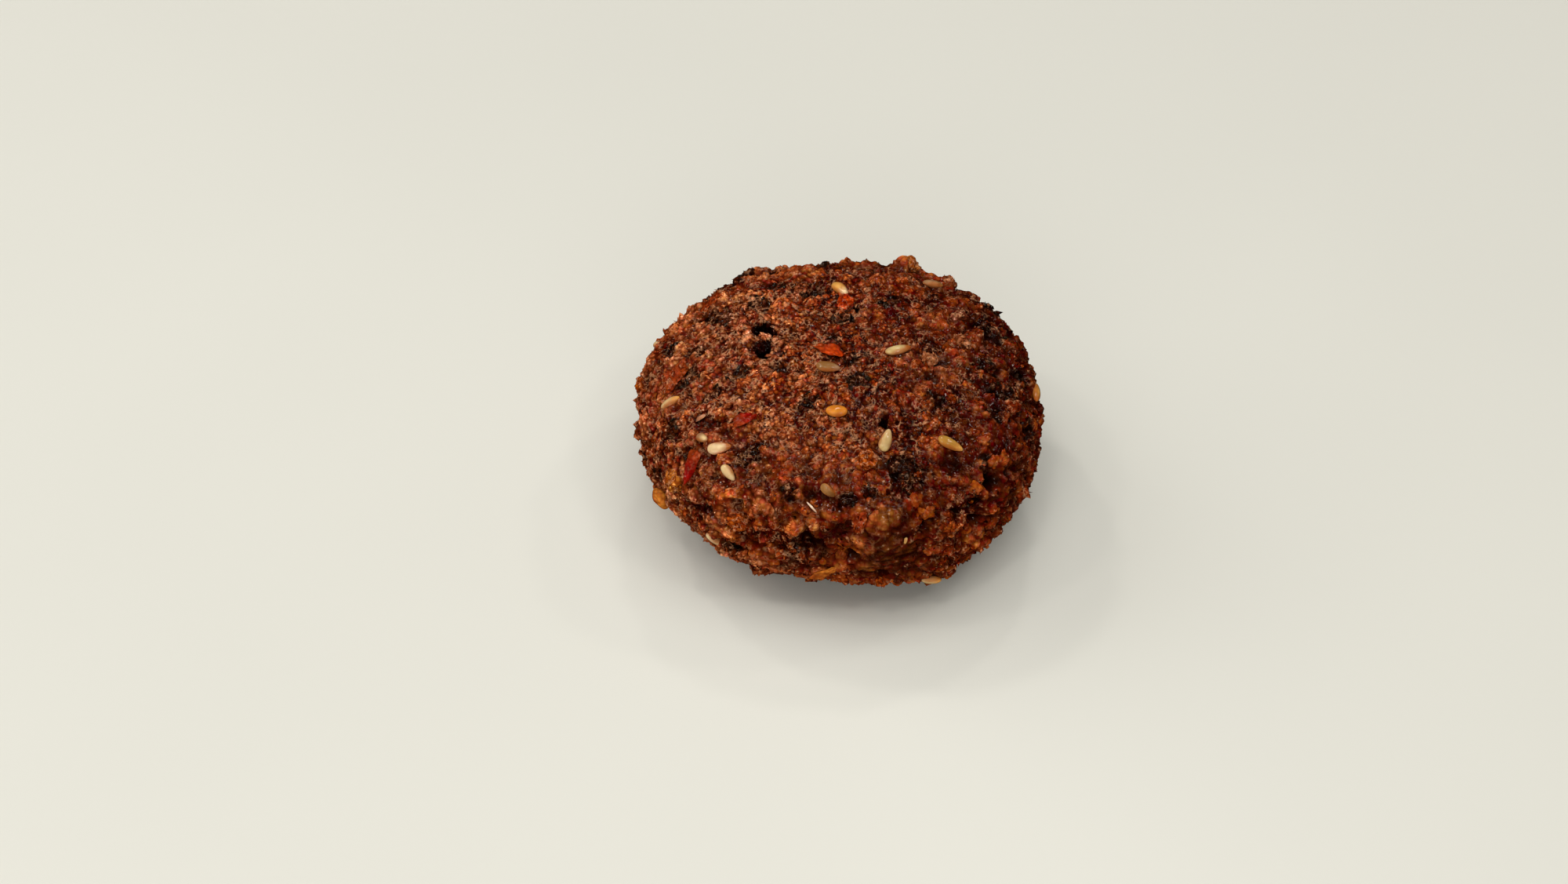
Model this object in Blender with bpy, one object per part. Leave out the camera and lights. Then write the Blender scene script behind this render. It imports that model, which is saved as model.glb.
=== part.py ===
"""Falafel: one fried oval patty with a craggy crumb crust.

Metres, +Z up. The origin is the middle of the flat foot, +X runs along the longest axis
and +Y away from the side that shows most. The patty is a rounded oval whose skin is pushed
in and out by a brow round the crown, named bulges, dents and pits, broad lumps and a crust
of crumbs. Sesame seeds, pepper flakes and loose crumbs are pressed into it and fused with it.

A place on the patty is a bearing round it (0 is +X, 90 is +Y) and a lift above the
level of its widest girth, both in degrees and both seen from the heart of the patty.
"""
import math
import random

import bmesh
import bpy
from mathutils import Matrix, Vector, noise

MM = 0.001

# Smooth oval that the crust grows on
HALF_WIDTH = 27.1 * MM
HALF_DEPTH = 25.7 * MM
CROWN_RISE = 13.2 * MM
BELLY_DROP = 16.3 * MM
PLAN_POWER = 2.15
CROWN_POWER = 2.5
BELLY_POWER = 2.2
FOOT_CUT = 1.3 * MM
FOOT_LEVEL = 0.001 * MM
FOOT_EVENNESS = 0.2

# Heart of the patty, set so that the finished shape stands centred on the origin
HEART = Vector((0.3 * MM, 0.03 * MM, BELLY_DROP - FOOT_CUT))

# Brow: the broken edge between the pressed crown and the side wall
BROW_LIFT = 14.0
BROW_SPREAD = 6.5
BROW_RISE = 0.55 * MM
BROW_BREAK = 8.0 * MM
BROW_MEAN = 0.5

# Broad lumps
LUMP_SIZE = 9.0 * MM
LUMP_RISE = 0.6 * MM
LUMP_SHIFT = Vector((3.7, 1.9, 8.2))

# Crumbs of the crust: nearly even on the crown, rugged on the side wall
CRUMB_SIZE = 4.2 * MM
CRUMB_RISE_CROWN = 1.0 * MM
CRUMB_RISE_WALL = 1.6 * MM
CRUMB_SHIFT = Vector((11.3, 4.6, 2.1))
CRUMB_DRIFT = 0.3
DRIFT_SIZE = 2.1 * MM
DRIFT_SHIFTS = (Vector((3.1, 7.7, 1.3)), Vector((8.9, 2.3, 5.5)), Vector((1.7, 4.9, 9.1)))
CREASE_SHARE = 0.42
CRUMB_LEVEL = 0.36
CRUMB_HEIGHT_MEAN = 0.62
CRUMB_HEIGHT_SPREAD = 0.38
CRUMB_DRAW_STRIDE = 17.3
WALL_LIFT = 22.0
CROWN_LIFT = 40.0

# Bulges and dents: bearing, lift, spread in degrees, rise in millimetres
SWELLS = (
    (168, 6, 13, 0.3),
    (-143, -13, 11, -1.2),
    (-122, -17, 9, -0.7),
    (-112, -21, 7, -2.0),
    (-99, -21, 8, -0.7),
    (-83, -23, 6, -1.0),
    (-58, -18, 10, 0.5),
    (-47, -16, 8, 0.5),
    (-5, 3, 7, -0.7),
    (54, 16, 7, 0.1),
    (70, 18, 8, 0.9),
    (112, 18, 14, 0.2),
    (-94, 12, 9, 0.4),
    (-90, 1, 6, -1.3),
    (-110, 2, 6, -1.2),
    (-50, 2, 5, -1.2),
    (-78, 3, 5, 0.6),
)

# Pits with dark floors: bearing, lift, spread in degrees, depth in millimetres
PITS = (
    (155, 47, 3.2, 1.9),
    (177, 51, 2.8, 1.5),
    (-41, 12, 3.0, 1.6),
    (-66, 42, 2.2, 0.9),
    (106, 41, 2.6, 1.1),
    (-105, 12, 2.6, 1.2),
    (20, 8, 3.0, 1.3),
    (75, 55, 2.4, 1.0),
)

# Sesame seed, pointed at one end
SEED_LENGTH = 3.4 * MM
SEED_WIDTH = 2.1 * MM
SEED_THICKNESS = 1.1 * MM
SEED_STAND = 0.30
SEED_TAPER = 0.45

# Share by which a piece follows the crust beside it more than the crust under its middle
SEAT_SHARE = 0.6

# Seeds that show: bearing, lift, turn of the long axis above the level, length share
SHOWN_SEEDS = (
    (90, 43, 122, 1.0),
    (-3, 60, -67, 1.08),
    (-117, 73, 19, 0.95),
    (-166, 20, 68, 1.0),
    (-94, 48, 2, 0.85),
    (-70, 35, 55, 1.0),
    (-47, 26, -60, 1.08),
    (-137, 23, 41, 0.95),
    (-129, 19, -32, 0.75),
    (-144, 22, 9, 0.7),
    (-129, -3, -53, 0.75),
    (-95, 21, -40, 0.85),
    (52, 26, -139, 0.85),
    (0, 11, 170, 1.1),
    (-61, -18, 30, 0.8),
)

# Pepper flakes and skins: bearing, lift, turn, length and width in millimetres
SHOWN_FLAKES = (
    (-164, 83, 57, 3.6, 2.2),
    (-141, 15, -65, 4.3, 1.8),
    (-137, 33, 70, 3.2, 1.8),
    (-178, 22, 132, 4.4, 3.0),
    (144, 23, 142, 3.6, 2.2),
    (-85, 13, 58, 2.6, 1.8),
    (-96, -9, 35, 3.6, 1.6),
)
FLAKE_THICKNESS = 0.9 * MM
FLAKE_STAND = 0.30
FLAKE_TAPER = 0.2

# Loose crumbs: bearing, lift, size in millimetres, share that stands clear
SHOWN_CRUMBS = (
    (66, 19, 1.9, 0.3),
    (53, 16, 1.8, 0.0),
    (-80, 30, 2.4, 0.0),
    (-145, 8, 2.6, 0.1),
    (-121, 7, 2.4, 0.1),
    (12, 35, 1.9, 0.0),
    (28, 32, 1.8, 0.0),
    (-8, 47, 1.9, 0.1),
    (-77, -15, 2.0, 0.1),
    (87, 51, 2.0, 0.0),
    (-30, 0, 2.3, 0.1),
    (-16, 20, 2.0, 0.0),
    (-155, -8, 2.8, 0.2),
)
CRUMB_TURN_STEP = 3.0
CRUMB_FLATNESS = 0.8
CRUMB_STRETCH = 1.25
CRUMB_TAPER = 0.3

# Sides that face away from the shown one carry seeds, flakes and crumbs by a rule
FAR_SEEDS = 10
FAR_FLAKES = 4
FAR_CRUMBS = 8
FAR_BEARINGS = (10.0, 175.0)
FAR_LIFTS = (-28.0, 8.0)
FAR_GAP = 0.2
FAR_SEED_SHARES = (0.85, 1.1)
FAR_FLAKE_LENGTHS = (2.8, 4.2)
FAR_FLAKE_WIDTH = 2.0
FAR_CRUMB_SIZES = (1.7, 2.5)
FAR_CRUMB_STAND = 0.05
FAR_DRAW = 58

# Mesh density: the squash spaces the corners evenly over the flat patty
CAGE_CELLS = 25
CAGE_SQUASH = 0.7
PIECE_SEGMENTS = 6
PIECE_RINGS = 4

FALAFEL_COLOUR = (0.151, 0.0442, 0.0187, 1.0)
FALAFEL_ROUGHNESS = 0.55


def clear_scene():
    for thing in list(bpy.data.objects):
        bpy.data.objects.remove(thing, do_unlink=True)


def make_collection(name):
    group = bpy.data.collections.new(name)
    bpy.context.scene.collection.children.link(group)
    return group


def make_material():
    paint = bpy.data.materials.new("fried_crust")
    paint.use_nodes = True
    shader = paint.node_tree.nodes["Principled BSDF"]
    shader.inputs["Base Color"].default_value = FALAFEL_COLOUR
    shader.inputs["Roughness"].default_value = FALAFEL_ROUGHNESS
    shader.inputs["Metallic"].default_value = 0.0
    return paint


def smooth_step(low, high, value):
    share = min(max((value - low) / (high - low), 0.0), 1.0)
    return share * share * (3.0 - 2.0 * share)


def direction_of(bearing, lift):
    """Unit vector from the heart to a place given in degrees."""
    turn = math.radians(bearing)
    rise = math.radians(lift)
    return Vector((math.cos(rise) * math.cos(turn), math.cos(rise) * math.sin(turn), math.sin(rise)))


def lift_of(way):
    return math.degrees(math.asin(max(-1.0, min(1.0, way.z))))


def oval_reach(way):
    """Distance from the heart to the smooth oval along a unit vector."""
    across = abs(way.x / HALF_WIDTH) ** PLAN_POWER + abs(way.y / HALF_DEPTH) ** PLAN_POWER
    plan = across ** (1.0 / PLAN_POWER)
    power = CROWN_POWER if way.z > 0.0 else BELLY_POWER
    half = CROWN_RISE if way.z > 0.0 else BELLY_DROP
    return (plan ** power + abs(way.z / half) ** power) ** (-1.0 / power)


def oval_outward(spot):
    """Outward unit normal of the smooth oval at one of its points, seen from the heart."""
    wide = abs(spot.x / HALF_WIDTH)
    deep = abs(spot.y / HALF_DEPTH)
    plan = (wide ** PLAN_POWER + deep ** PLAN_POWER) ** (1.0 / PLAN_POWER)
    power = CROWN_POWER if spot.z > 0.0 else BELLY_POWER
    half = CROWN_RISE if spot.z > 0.0 else BELLY_DROP
    ease = max(plan, 1.0e-6) ** (power - PLAN_POWER)
    slope_x = math.copysign(ease * wide ** (PLAN_POWER - 1.0) / HALF_WIDTH, spot.x)
    slope_y = math.copysign(ease * deep ** (PLAN_POWER - 1.0) / HALF_DEPTH, spot.y)
    slope_z = math.copysign(abs(spot.z / half) ** (power - 1.0) / half, spot.z)
    return Vector((slope_x, slope_y, slope_z)).normalized()


def brow_rise(spot, way):
    """A ridge at the edge of the crown, broken into longer and shorter stretches."""
    apart = (lift_of(way) - BROW_LIFT) / BROW_SPREAD
    share = BROW_MEAN + noise.noise(spot / BROW_BREAK)
    return BROW_RISE * share * math.exp(-apart * apart)


def swell_rise(way):
    """Named bulges, dents and pits, each a soft round hump or hollow."""
    total = 0.0
    for bearing, lift, spread, rise in SWELLS:
        apart = way.angle(direction_of(bearing, lift)) / math.radians(spread)
        total += rise * MM * math.exp(-apart * apart)
    for bearing, lift, spread, depth in PITS:
        apart = way.angle(direction_of(bearing, lift)) / math.radians(spread)
        total -= depth * MM * math.exp(-apart ** 4)
    return total


def lump_rise(spot):
    return LUMP_RISE * noise.noise(spot / LUMP_SIZE + LUMP_SHIFT)


def drift_at(spot):
    """A small sideways wander that keeps the crumbs from lying in straight cells."""
    place = spot / DRIFT_SIZE
    return Vector([noise.noise(place + shift) for shift in DRIFT_SHIFTS]) * CRUMB_DRIFT


def crumb_rise(spot, way):
    """Rounded crumbs of unequal height with creases between them."""
    apart, centres = noise.voronoi(spot / CRUMB_SIZE + drift_at(spot) + CRUMB_SHIFT)
    body = smooth_step(0.0, CREASE_SHARE, apart[1] - apart[0])
    height = CRUMB_HEIGHT_MEAN + CRUMB_HEIGHT_SPREAD * noise.cell(centres[0] * CRUMB_DRAW_STRIDE)
    wall = 1.0 - smooth_step(WALL_LIFT, CROWN_LIFT, lift_of(way))
    rise = CRUMB_RISE_CROWN + (CRUMB_RISE_WALL - CRUMB_RISE_CROWN) * wall
    return rise * (body * height - CRUMB_LEVEL)


def crust_point(way):
    """Point of the crust along a unit vector from the heart, flat where the patty rests."""
    spot = way * oval_reach(way)
    rise = brow_rise(spot, way) + swell_rise(way) + lump_rise(spot) + crumb_rise(spot, way)
    point = HEART + spot + oval_outward(spot) * rise
    point.z = max(point.z, 0.0)
    return point


def merge_foot(cage):
    """One flat face in place of the many small ones that the patty rests on."""
    corners = [corner for corner in cage.verts if corner.co.z < FOOT_LEVEL]
    edges = [edge for edge in cage.edges if all(end.co.z < FOOT_LEVEL for end in edge.verts)]
    bmesh.ops.dissolve_limit(cage, angle_limit=math.radians(FOOT_EVENNESS), verts=corners, edges=edges)


def build_patty(paint):
    """A cube primitive cut into a grid and rounded, with every corner moved to the crust."""
    mesh = bpy.data.meshes.new("falafel")
    cage = bmesh.new()
    bmesh.ops.create_cube(cage, size=2.0)
    bmesh.ops.subdivide_edges(cage, edges=cage.edges[:], cuts=CAGE_CELLS - 1, use_grid_fill=True)
    for corner in cage.verts:
        even = Vector([math.tan(side * math.pi / 4.0) for side in corner.co]).normalized()
        even.z *= CAGE_SQUASH
        corner.co = crust_point(even.normalized())
    merge_foot(cage)
    bmesh.ops.triangulate(cage, faces=cage.faces[:])
    cage.to_mesh(mesh)
    cage.free()
    mesh.materials.append(paint)
    return bpy.data.objects.new("falafel", mesh)


def seat_on_crust(bearing, lift, turn, span):
    """Frame of a piece pressed on the crust: first axis along it, third axis outward."""
    way = direction_of(bearing, lift)
    level = direction_of(bearing + 90.0, 0.0)
    upward = way.cross(level)
    centre = crust_point(way)
    step = 0.5 * span / (centre - HEART).length
    asides = (level, -level, upward, -upward)
    sides = [crust_point((way + aside * step).normalized()) for aside in asides]
    outward = (sides[0] - sides[1]).cross(sides[2] - sides[3]).normalized()
    flat_level = (level - outward * level.dot(outward)).normalized()
    along = Matrix.Rotation(math.radians(turn), 3, outward) @ flat_level
    across = outward.cross(along)
    seat = Matrix((along, across, outward)).transposed().to_4x4()
    seat.translation = centre.lerp(sum(sides, Vector()) / len(sides), SEAT_SHARE)
    return seat


def press_piece(group, name, seat, size, stand, taper):
    """A small ball primitive drawn out to a seed, a flake or a crumb, narrower at one end."""
    mesh = bpy.data.meshes.new(name)
    ball = bmesh.new()
    bmesh.ops.create_uvsphere(ball, u_segments=PIECE_SEGMENTS, v_segments=PIECE_RINGS, radius=0.5)
    for corner in ball.verts:
        along = corner.co.z
        narrow = 1.0 - taper * (along + 0.5)
        height = corner.co.y + stand
        corner.co = Vector((along * size[0], corner.co.x * size[1] * narrow, height * size[2]))
    bmesh.ops.recalc_face_normals(ball, faces=ball.faces[:])
    ball.to_mesh(mesh)
    ball.free()
    piece = bpy.data.objects.new(name, mesh)
    piece.matrix_world = seat
    group.objects.link(piece)


def press_seed(group, name, bearing, lift, turn, share):
    seat = seat_on_crust(bearing, lift, turn, SEED_WIDTH)
    size = (SEED_LENGTH * share, SEED_WIDTH, SEED_THICKNESS)
    press_piece(group, name, seat, size, SEED_STAND, SEED_TAPER)


def press_flake(group, name, bearing, lift, turn, length, width):
    seat = seat_on_crust(bearing, lift, turn, width * MM)
    size = (length * MM, width * MM, FLAKE_THICKNESS)
    press_piece(group, name, seat, size, FLAKE_STAND, FLAKE_TAPER)


def press_crumb(group, name, bearing, lift, width, stand):
    seat = seat_on_crust(bearing, lift, CRUMB_TURN_STEP * bearing, width * MM)
    size = (width * CRUMB_STRETCH * MM, width * MM, width * CRUMB_FLATNESS * MM)
    press_piece(group, name, seat, size, stand, CRUMB_TAPER)


def far_places(count, taken, draw):
    """Places on the far side, each clear of the ones taken before it."""
    found = []
    while len(found) < count:
        bearing = draw.uniform(*FAR_BEARINGS)
        lift = draw.uniform(*FAR_LIFTS)
        way = direction_of(bearing, lift)
        if all((way - other).length > FAR_GAP for other in taken):
            taken.append(way)
            found.append((bearing, lift))
    return found


def press_toppings(group):
    """Seeds, flakes and crumbs: those that show by their places, the far side's by a rule."""
    draw = random.Random(FAR_DRAW)
    shown = SHOWN_SEEDS + SHOWN_FLAKES + SHOWN_CRUMBS
    taken = [direction_of(place[0], place[1]) for place in shown]
    seeds = list(SHOWN_SEEDS)
    for bearing, lift in far_places(FAR_SEEDS, taken, draw):
        seeds.append((bearing, lift, draw.uniform(0.0, 180.0), draw.uniform(*FAR_SEED_SHARES)))
    flakes = list(SHOWN_FLAKES)
    for bearing, lift in far_places(FAR_FLAKES, taken, draw):
        length = draw.uniform(*FAR_FLAKE_LENGTHS)
        flakes.append((bearing, lift, draw.uniform(0.0, 180.0), length, FAR_FLAKE_WIDTH))
    crumbs = list(SHOWN_CRUMBS)
    for bearing, lift in far_places(FAR_CRUMBS, taken, draw):
        crumbs.append((bearing, lift, draw.uniform(*FAR_CRUMB_SIZES), FAR_CRUMB_STAND))
    for index, place in enumerate(seeds):
        press_seed(group, "seed_%02d" % index, *place)
    for index, place in enumerate(flakes):
        press_flake(group, "flake_%02d" % index, *place)
    for index, place in enumerate(crumbs):
        press_crumb(group, "crumb_%02d" % index, *place)


def fuse(patty, group):
    """One union of the patty and all that is pressed into it."""
    union = patty.modifiers.new("toppings", "BOOLEAN")
    union.operation = "UNION"
    union.operand_type = "COLLECTION"
    union.collection = group
    union.solver = "EXACT"
    bpy.context.view_layer.update()
    seen = patty.evaluated_get(bpy.context.evaluated_depsgraph_get())
    fused = bpy.data.meshes.new_from_object(seen)
    patty.modifiers.clear()
    patty.data = fused
    for piece in list(group.objects):
        bpy.data.objects.remove(piece, do_unlink=True)
    bpy.data.collections.remove(group)


def main():
    clear_scene()
    falafel = make_collection("falafel_part")
    toppings = make_collection("toppings")
    patty = build_patty(make_material())
    falafel.objects.link(patty)
    press_toppings(toppings)
    fuse(patty, toppings)
    patty.data.shade_smooth()


main()
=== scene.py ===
"""Falafel: the dressed look of one fried patty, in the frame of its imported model.

Metres, +Z up, the origin at the middle of the flat foot. A place on the patty is a bearing
round it (0 is +X, 90 is +Y) and a lift above its widest girth, in degrees, seen from its heart.
The form functions repeat those of the part, so every seed and crumb lies where the solid has it.
"""
import itertools
import math
import random
from collections import namedtuple

import bmesh
import bpy
from mathutils import Matrix, Vector, kdtree, noise


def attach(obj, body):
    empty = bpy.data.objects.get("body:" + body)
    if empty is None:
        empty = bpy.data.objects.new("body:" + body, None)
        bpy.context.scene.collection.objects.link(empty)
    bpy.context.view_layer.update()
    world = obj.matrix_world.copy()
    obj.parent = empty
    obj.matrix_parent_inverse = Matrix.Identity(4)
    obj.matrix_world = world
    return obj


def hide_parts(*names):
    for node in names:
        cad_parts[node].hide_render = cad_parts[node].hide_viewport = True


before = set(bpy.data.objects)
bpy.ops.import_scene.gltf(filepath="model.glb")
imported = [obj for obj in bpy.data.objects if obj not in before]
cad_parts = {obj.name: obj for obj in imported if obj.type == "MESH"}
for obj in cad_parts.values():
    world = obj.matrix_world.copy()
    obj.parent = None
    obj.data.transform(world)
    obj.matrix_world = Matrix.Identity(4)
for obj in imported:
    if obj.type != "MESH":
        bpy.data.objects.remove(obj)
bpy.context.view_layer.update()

MM = 0.001

# Smooth oval that the crust grows on
HALF_WIDTH = 27.1 * MM
HALF_DEPTH = 25.7 * MM
CROWN_RISE = 13.2 * MM
BELLY_DROP = 16.3 * MM
PLAN_POWER = 2.15
CROWN_POWER = 2.5
BELLY_POWER = 2.2
FOOT_CUT = 1.3 * MM
HEART = Vector((0.3 * MM, 0.03 * MM, BELLY_DROP - FOOT_CUT))

# Brow: the broken edge between the pressed crown and the side wall
BROW_LIFT = 14.0
BROW_SPREAD = 6.5
BROW_RISE = 0.55 * MM
BROW_BREAK = 8.0 * MM
BROW_MEAN = 0.5

# Broad lumps
LUMP_SIZE = 9.0 * MM
LUMP_RISE = 0.6 * MM
LUMP_SHIFT = Vector((3.7, 1.9, 8.2))

# Crumbs of the crust: nearly even on the crown, rugged on the side wall
CRUMB_SIZE = 4.2 * MM
CRUMB_RISE_CROWN = 1.0 * MM
CRUMB_RISE_WALL = 1.6 * MM
CRUMB_SHIFT = Vector((11.3, 4.6, 2.1))
CRUMB_DRIFT = 0.3
DRIFT_SIZE = 2.1 * MM
DRIFT_SHIFTS = (Vector((3.1, 7.7, 1.3)), Vector((8.9, 2.3, 5.5)), Vector((1.7, 4.9, 9.1)))
CREASE_SHARE = 0.42
CRUMB_LEVEL = 0.36
CRUMB_HEIGHT_MEAN = 0.62
CRUMB_HEIGHT_SPREAD = 0.38
CRUMB_DRAW_STRIDE = 17.3
WALL_LIFT = 22.0
CROWN_LIFT = 40.0

# Bulges and dents: bearing, lift, spread in degrees, rise in millimetres
SWELLS = (
    (168, 6, 13, 0.3),
    (-143, -13, 11, -1.2),
    (-122, -17, 9, -0.7),
    (-112, -21, 7, -2.0),
    (-99, -21, 8, -0.7),
    (-83, -23, 6, -1.0),
    (-58, -18, 10, 0.5),
    (-47, -16, 8, 0.5),
    (-5, 3, 7, -0.7),
    (54, 16, 7, 0.1),
    (70, 18, 8, 0.9),
    (112, 18, 14, 0.2),
    (-94, 12, 9, 0.4),
    (-90, 1, 6, -1.3),
    (-110, 2, 6, -1.2),
    (-50, 2, 5, -1.2),
    (-78, 3, 5, 0.6),
)

# Pits, their floors painted nearly black as painted shade: bearing, lift, spread in degrees, depth
# in millimetres
PITS = (
    (155, 47, 3.2, 1.9),
    (177, 51, 2.8, 1.5),
    (-41, 12, 3.0, 1.6),
    (-66, 42, 2.2, 0.9),
    (106, 41, 2.6, 1.1),
    (-105, 12, 2.6, 1.2),
    (20, 8, 3.0, 1.3),
    (75, 55, 2.4, 1.0),
)

# Sesame seed, pointed at one end
SEED_LENGTH = 3.4 * MM
SEED_WIDTH = 2.1 * MM
SEED_THICKNESS = 1.1 * MM
SEED_STAND = 0.30
SEED_TAPER = 0.45
OVAL_TAPER = 0.0
SEED_STOUT = 0.25
# Painted shade: share by which a seed turns amber along its rim and underside
SEED_RIM_SHADE = 0.75

# Span of the draws that shift a noise from one small body to the next
SHIFT_SPAN = 50.0

# Share by which a piece follows the crust beside it more than the crust under its middle
SEAT_SHARE = 0.6


def srgb(red, green, blue):
    """Linear colour of a screen colour given in steps of 255."""
    shares = (red / 255.0, green / 255.0, blue / 255.0)
    return Vector([s / 12.92 if s <= 0.04045 else ((s + 0.055) / 1.055) ** 2.4 for s in shares])


# Seed and crumb colours
CREAM = srgb(226, 192, 136)
CREAM_GREEN = srgb(208, 178, 120)
EGG_WHITE = srgb(238, 206, 158)
GOLDEN = srgb(230, 168, 84)
OLIVE_GOLD = srgb(186, 136, 58)
OLIVE_GREY = srgb(152, 108, 58)
DULL_OLIVE = srgb(118, 74, 36)
ORANGE_OVAL = srgb(218, 132, 40)
AMBER_TAIL = srgb(180, 98, 38)
TAN_GREY = srgb(166, 122, 84)

# Seeds that show: bearing, lift, turn above the level, length share, body colour, tail colour
SHOWN_SEEDS = (
    (90, 43, 122, 1.0, GOLDEN, EGG_WHITE),
    (-3, 60, -67, 1.08, CREAM_GREEN, AMBER_TAIL),
    (-117, 73, 19, 0.95, OLIVE_GREY, TAN_GREY),
    (-166, 20, 68, 1.0, CREAM, GOLDEN),
    (-94, 48, 2, 0.85, ORANGE_OVAL, ORANGE_OVAL),
    (-70, 35, 55, 1.0, CREAM_GREEN, CREAM),
    (-47, 26, -60, 1.08, OLIVE_GOLD, GOLDEN),
    (-137, 23, 41, 0.95, EGG_WHITE, AMBER_TAIL),
    (-129, 19, -32, 0.75, CREAM, EGG_WHITE),
    (-144, 22, 9, 0.7, TAN_GREY, CREAM),
    (-129, -3, -53, 0.75, EGG_WHITE, CREAM),
    (-95, 21, -40, 0.68, OLIVE_GREY, DULL_OLIVE),
    (52, 26, -139, 0.85, TAN_GREY, OLIVE_GREY),
    (0, 11, 170, 1.1, GOLDEN, AMBER_TAIL),
    (-61, -18, 30, 0.8, CREAM, GOLDEN),
)
FAR_SEED_COLOURS = (CREAM, GOLDEN, CREAM_GREEN, OLIVE_GOLD, EGG_WHITE)

# Flake and crumb colours
PEPPER_RED = srgb(216, 76, 16)
DARK_RED = srgb(138, 24, 6)
AMBER = srgb(180, 84, 20)
BURNT_AMBER = srgb(152, 62, 20)
GOLDEN_SKIN = srgb(206, 122, 42)
PALE_ORANGE = srgb(176, 108, 68)
MAUVE = srgb(142, 76, 52)

# Pepper flakes and skins: bearing, lift, turn, length and width in millimetres, colour
SHOWN_FLAKES = (
    (-164, 83, 57, 3.8, 2.6, PEPPER_RED),
    (-141, 15, -65, 4.3, 1.8, DARK_RED),
    (-137, 33, 70, 3.2, 1.8, DARK_RED),
    (-178, 22, 132, 4.4, 3.0, BURNT_AMBER),
    (144, 23, 142, 3.6, 2.2, BURNT_AMBER),
    (-85, 13, 58, 2.6, 1.8, BURNT_AMBER),
    (-96, -9, 35, 3.6, 1.6, GOLDEN_SKIN),
)
FAR_FLAKE_COLOURS = (PEPPER_RED, DARK_RED, AMBER)
FLAKE_THICKNESS = 0.9 * MM
FLAKE_STAND = 0.30
FLAKE_TAPER = 0.2
FLAKE_END_SHARE = 0.7

# Loose crumbs: bearing, lift, size in millimetres, share that stands clear, colour
SHOWN_CRUMBS = (
    (66, 19, 1.9, 0.3, GOLDEN_SKIN),
    (53, 16, 1.8, 0.0, PALE_ORANGE),
    (-80, 30, 2.4, 0.0, AMBER),
    (-145, 8, 2.6, 0.1, GOLDEN_SKIN),
    (-121, 7, 2.4, 0.1, AMBER),
    (12, 35, 1.9, 0.0, PALE_ORANGE),
    (28, 32, 1.8, 0.0, MAUVE),
    (-8, 47, 1.9, 0.1, PALE_ORANGE),
    (-77, -15, 2.0, 0.1, AMBER),
    (87, 51, 2.0, 0.0, PEPPER_RED),
    (-30, 0, 2.3, 0.1, BURNT_AMBER),
    (-16, 20, 2.0, 0.0, BURNT_AMBER),
)
FAR_CRUMB_COLOURS = (AMBER, BURNT_AMBER, PALE_ORANGE)
CRUMB_TURN_STEP = 3.0
CRUMB_FLATNESS = 0.8
CRUMB_STRETCH = 1.25

# Thin husks: bearing, lift, turn, length and width in millimetres, colour
# The palest husk lies where a thin glint line shows: its near-white colour is partly a painted
# highlight
HUSK_PALE_HIGHLIGHT = srgb(250, 216, 190)
HUSK_AMBER = srgb(222, 166, 98)
HUSK_ROSE = srgb(204, 146, 110)
SHOWN_HUSKS = (
    (-100, 16, -38, 1.9, 0.3, HUSK_PALE_HIGHLIGHT),
    (-72, 5, 70, 1.2, 0.5, HUSK_AMBER),
    (-152, 25, 62, 2.0, 0.9, HUSK_ROSE),
)
HUSK_THICKNESS = 0.25 * MM
HUSK_WET = 0.8

# Amber skin that hangs at the left: bearing, lift, size in millimetres, share that stands clear
HANGING_SKIN = (-155, -8, 2.8, 0.2)

# Sides that face away from the shown one carry seeds, flakes and crumbs by a rule
FAR_SEEDS = 10
FAR_FLAKES = 4
FAR_CRUMBS = 8
FAR_BEARINGS = (10.0, 175.0)
FAR_LIFTS = (-28.0, 8.0)
FAR_GAP = 0.2
FAR_SEED_SHARES = (0.85, 1.1)
FAR_FLAKE_LENGTHS = (2.8, 4.2)
FAR_FLAKE_WIDTH = 2.0
FAR_CRUMB_SIZES = (1.7, 2.5)
FAR_CRUMB_STAND = 0.05
FAR_DRAW = 58

# Fine crust: clods within the crumbs and grains on the clods
CRUST_LEVELS = 7
CAGE_SQUASH = 0.7
CLOD_SIZE = 1.9 * MM
CLOD_SHIFT = Vector((4.4, 7.1, 3.3))
CLOD_CREASE = 0.38
CLOD_RISE_CROWN = 0.42 * MM
CLOD_RISE_WALL = 0.45 * MM
CLOD_LEVEL = 0.45
GRAIN_SIZE = 0.75 * MM
GRAIN_SHIFT = Vector((1.2, 5.8, 9.4))
GRAIN_CREASE = 0.4
GRAIN_RISE = 0.14 * MM
GRAIN_LEVEL = 0.5
DRAW_STRIDE = 13.7
FOOT_PIT = 0.12 * MM

# Dressed crust: finer crumbs hide part of the coarse ones, cracks wind between clumps
COARSE_SHARE = 0.58
CRACK_SIZE = 5.0 * MM
CRACK_SHIFT = Vector((6.1, 2.2, 8.8))
CRACK_WIDTH = 0.07
CRACK_DEPTH = 0.4 * MM
CRACK_REACH_SIZE = 7.0 * MM
CRACK_REACH = (0.0, 0.3)
PIT_EXTRA = 1.1 * MM
PIT_WIDTHS = (1.25, 1.25, 0.9, 0.7, 1.0, 0.2, 0.9, 0.8)
PIT_MARGIN = 0.035
PIT_WANDER = 0.85
PIT_WANDER_SIZE = 1.4 * MM
SMOOTH_CLOD_LOSS = 0.93
SMOOTH_CRUMB_LOSS = 0.88

# Bed of each topping, in shares of its footprint
SEED_BED = 0.5
FLAKE_BED = 0.46
CRUMB_BED = 0.55
HUSK_BED = (0.5, 0.7)
BED_WIDTH = 0.42
BED_REACH = 4.0 * MM
BED_FAR = 9.0
BED_RIM = (0.75, 1.25)
BED_CALM = (1.0, 2.2)
BED_DEPTH = 0.1 * MM

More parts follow.
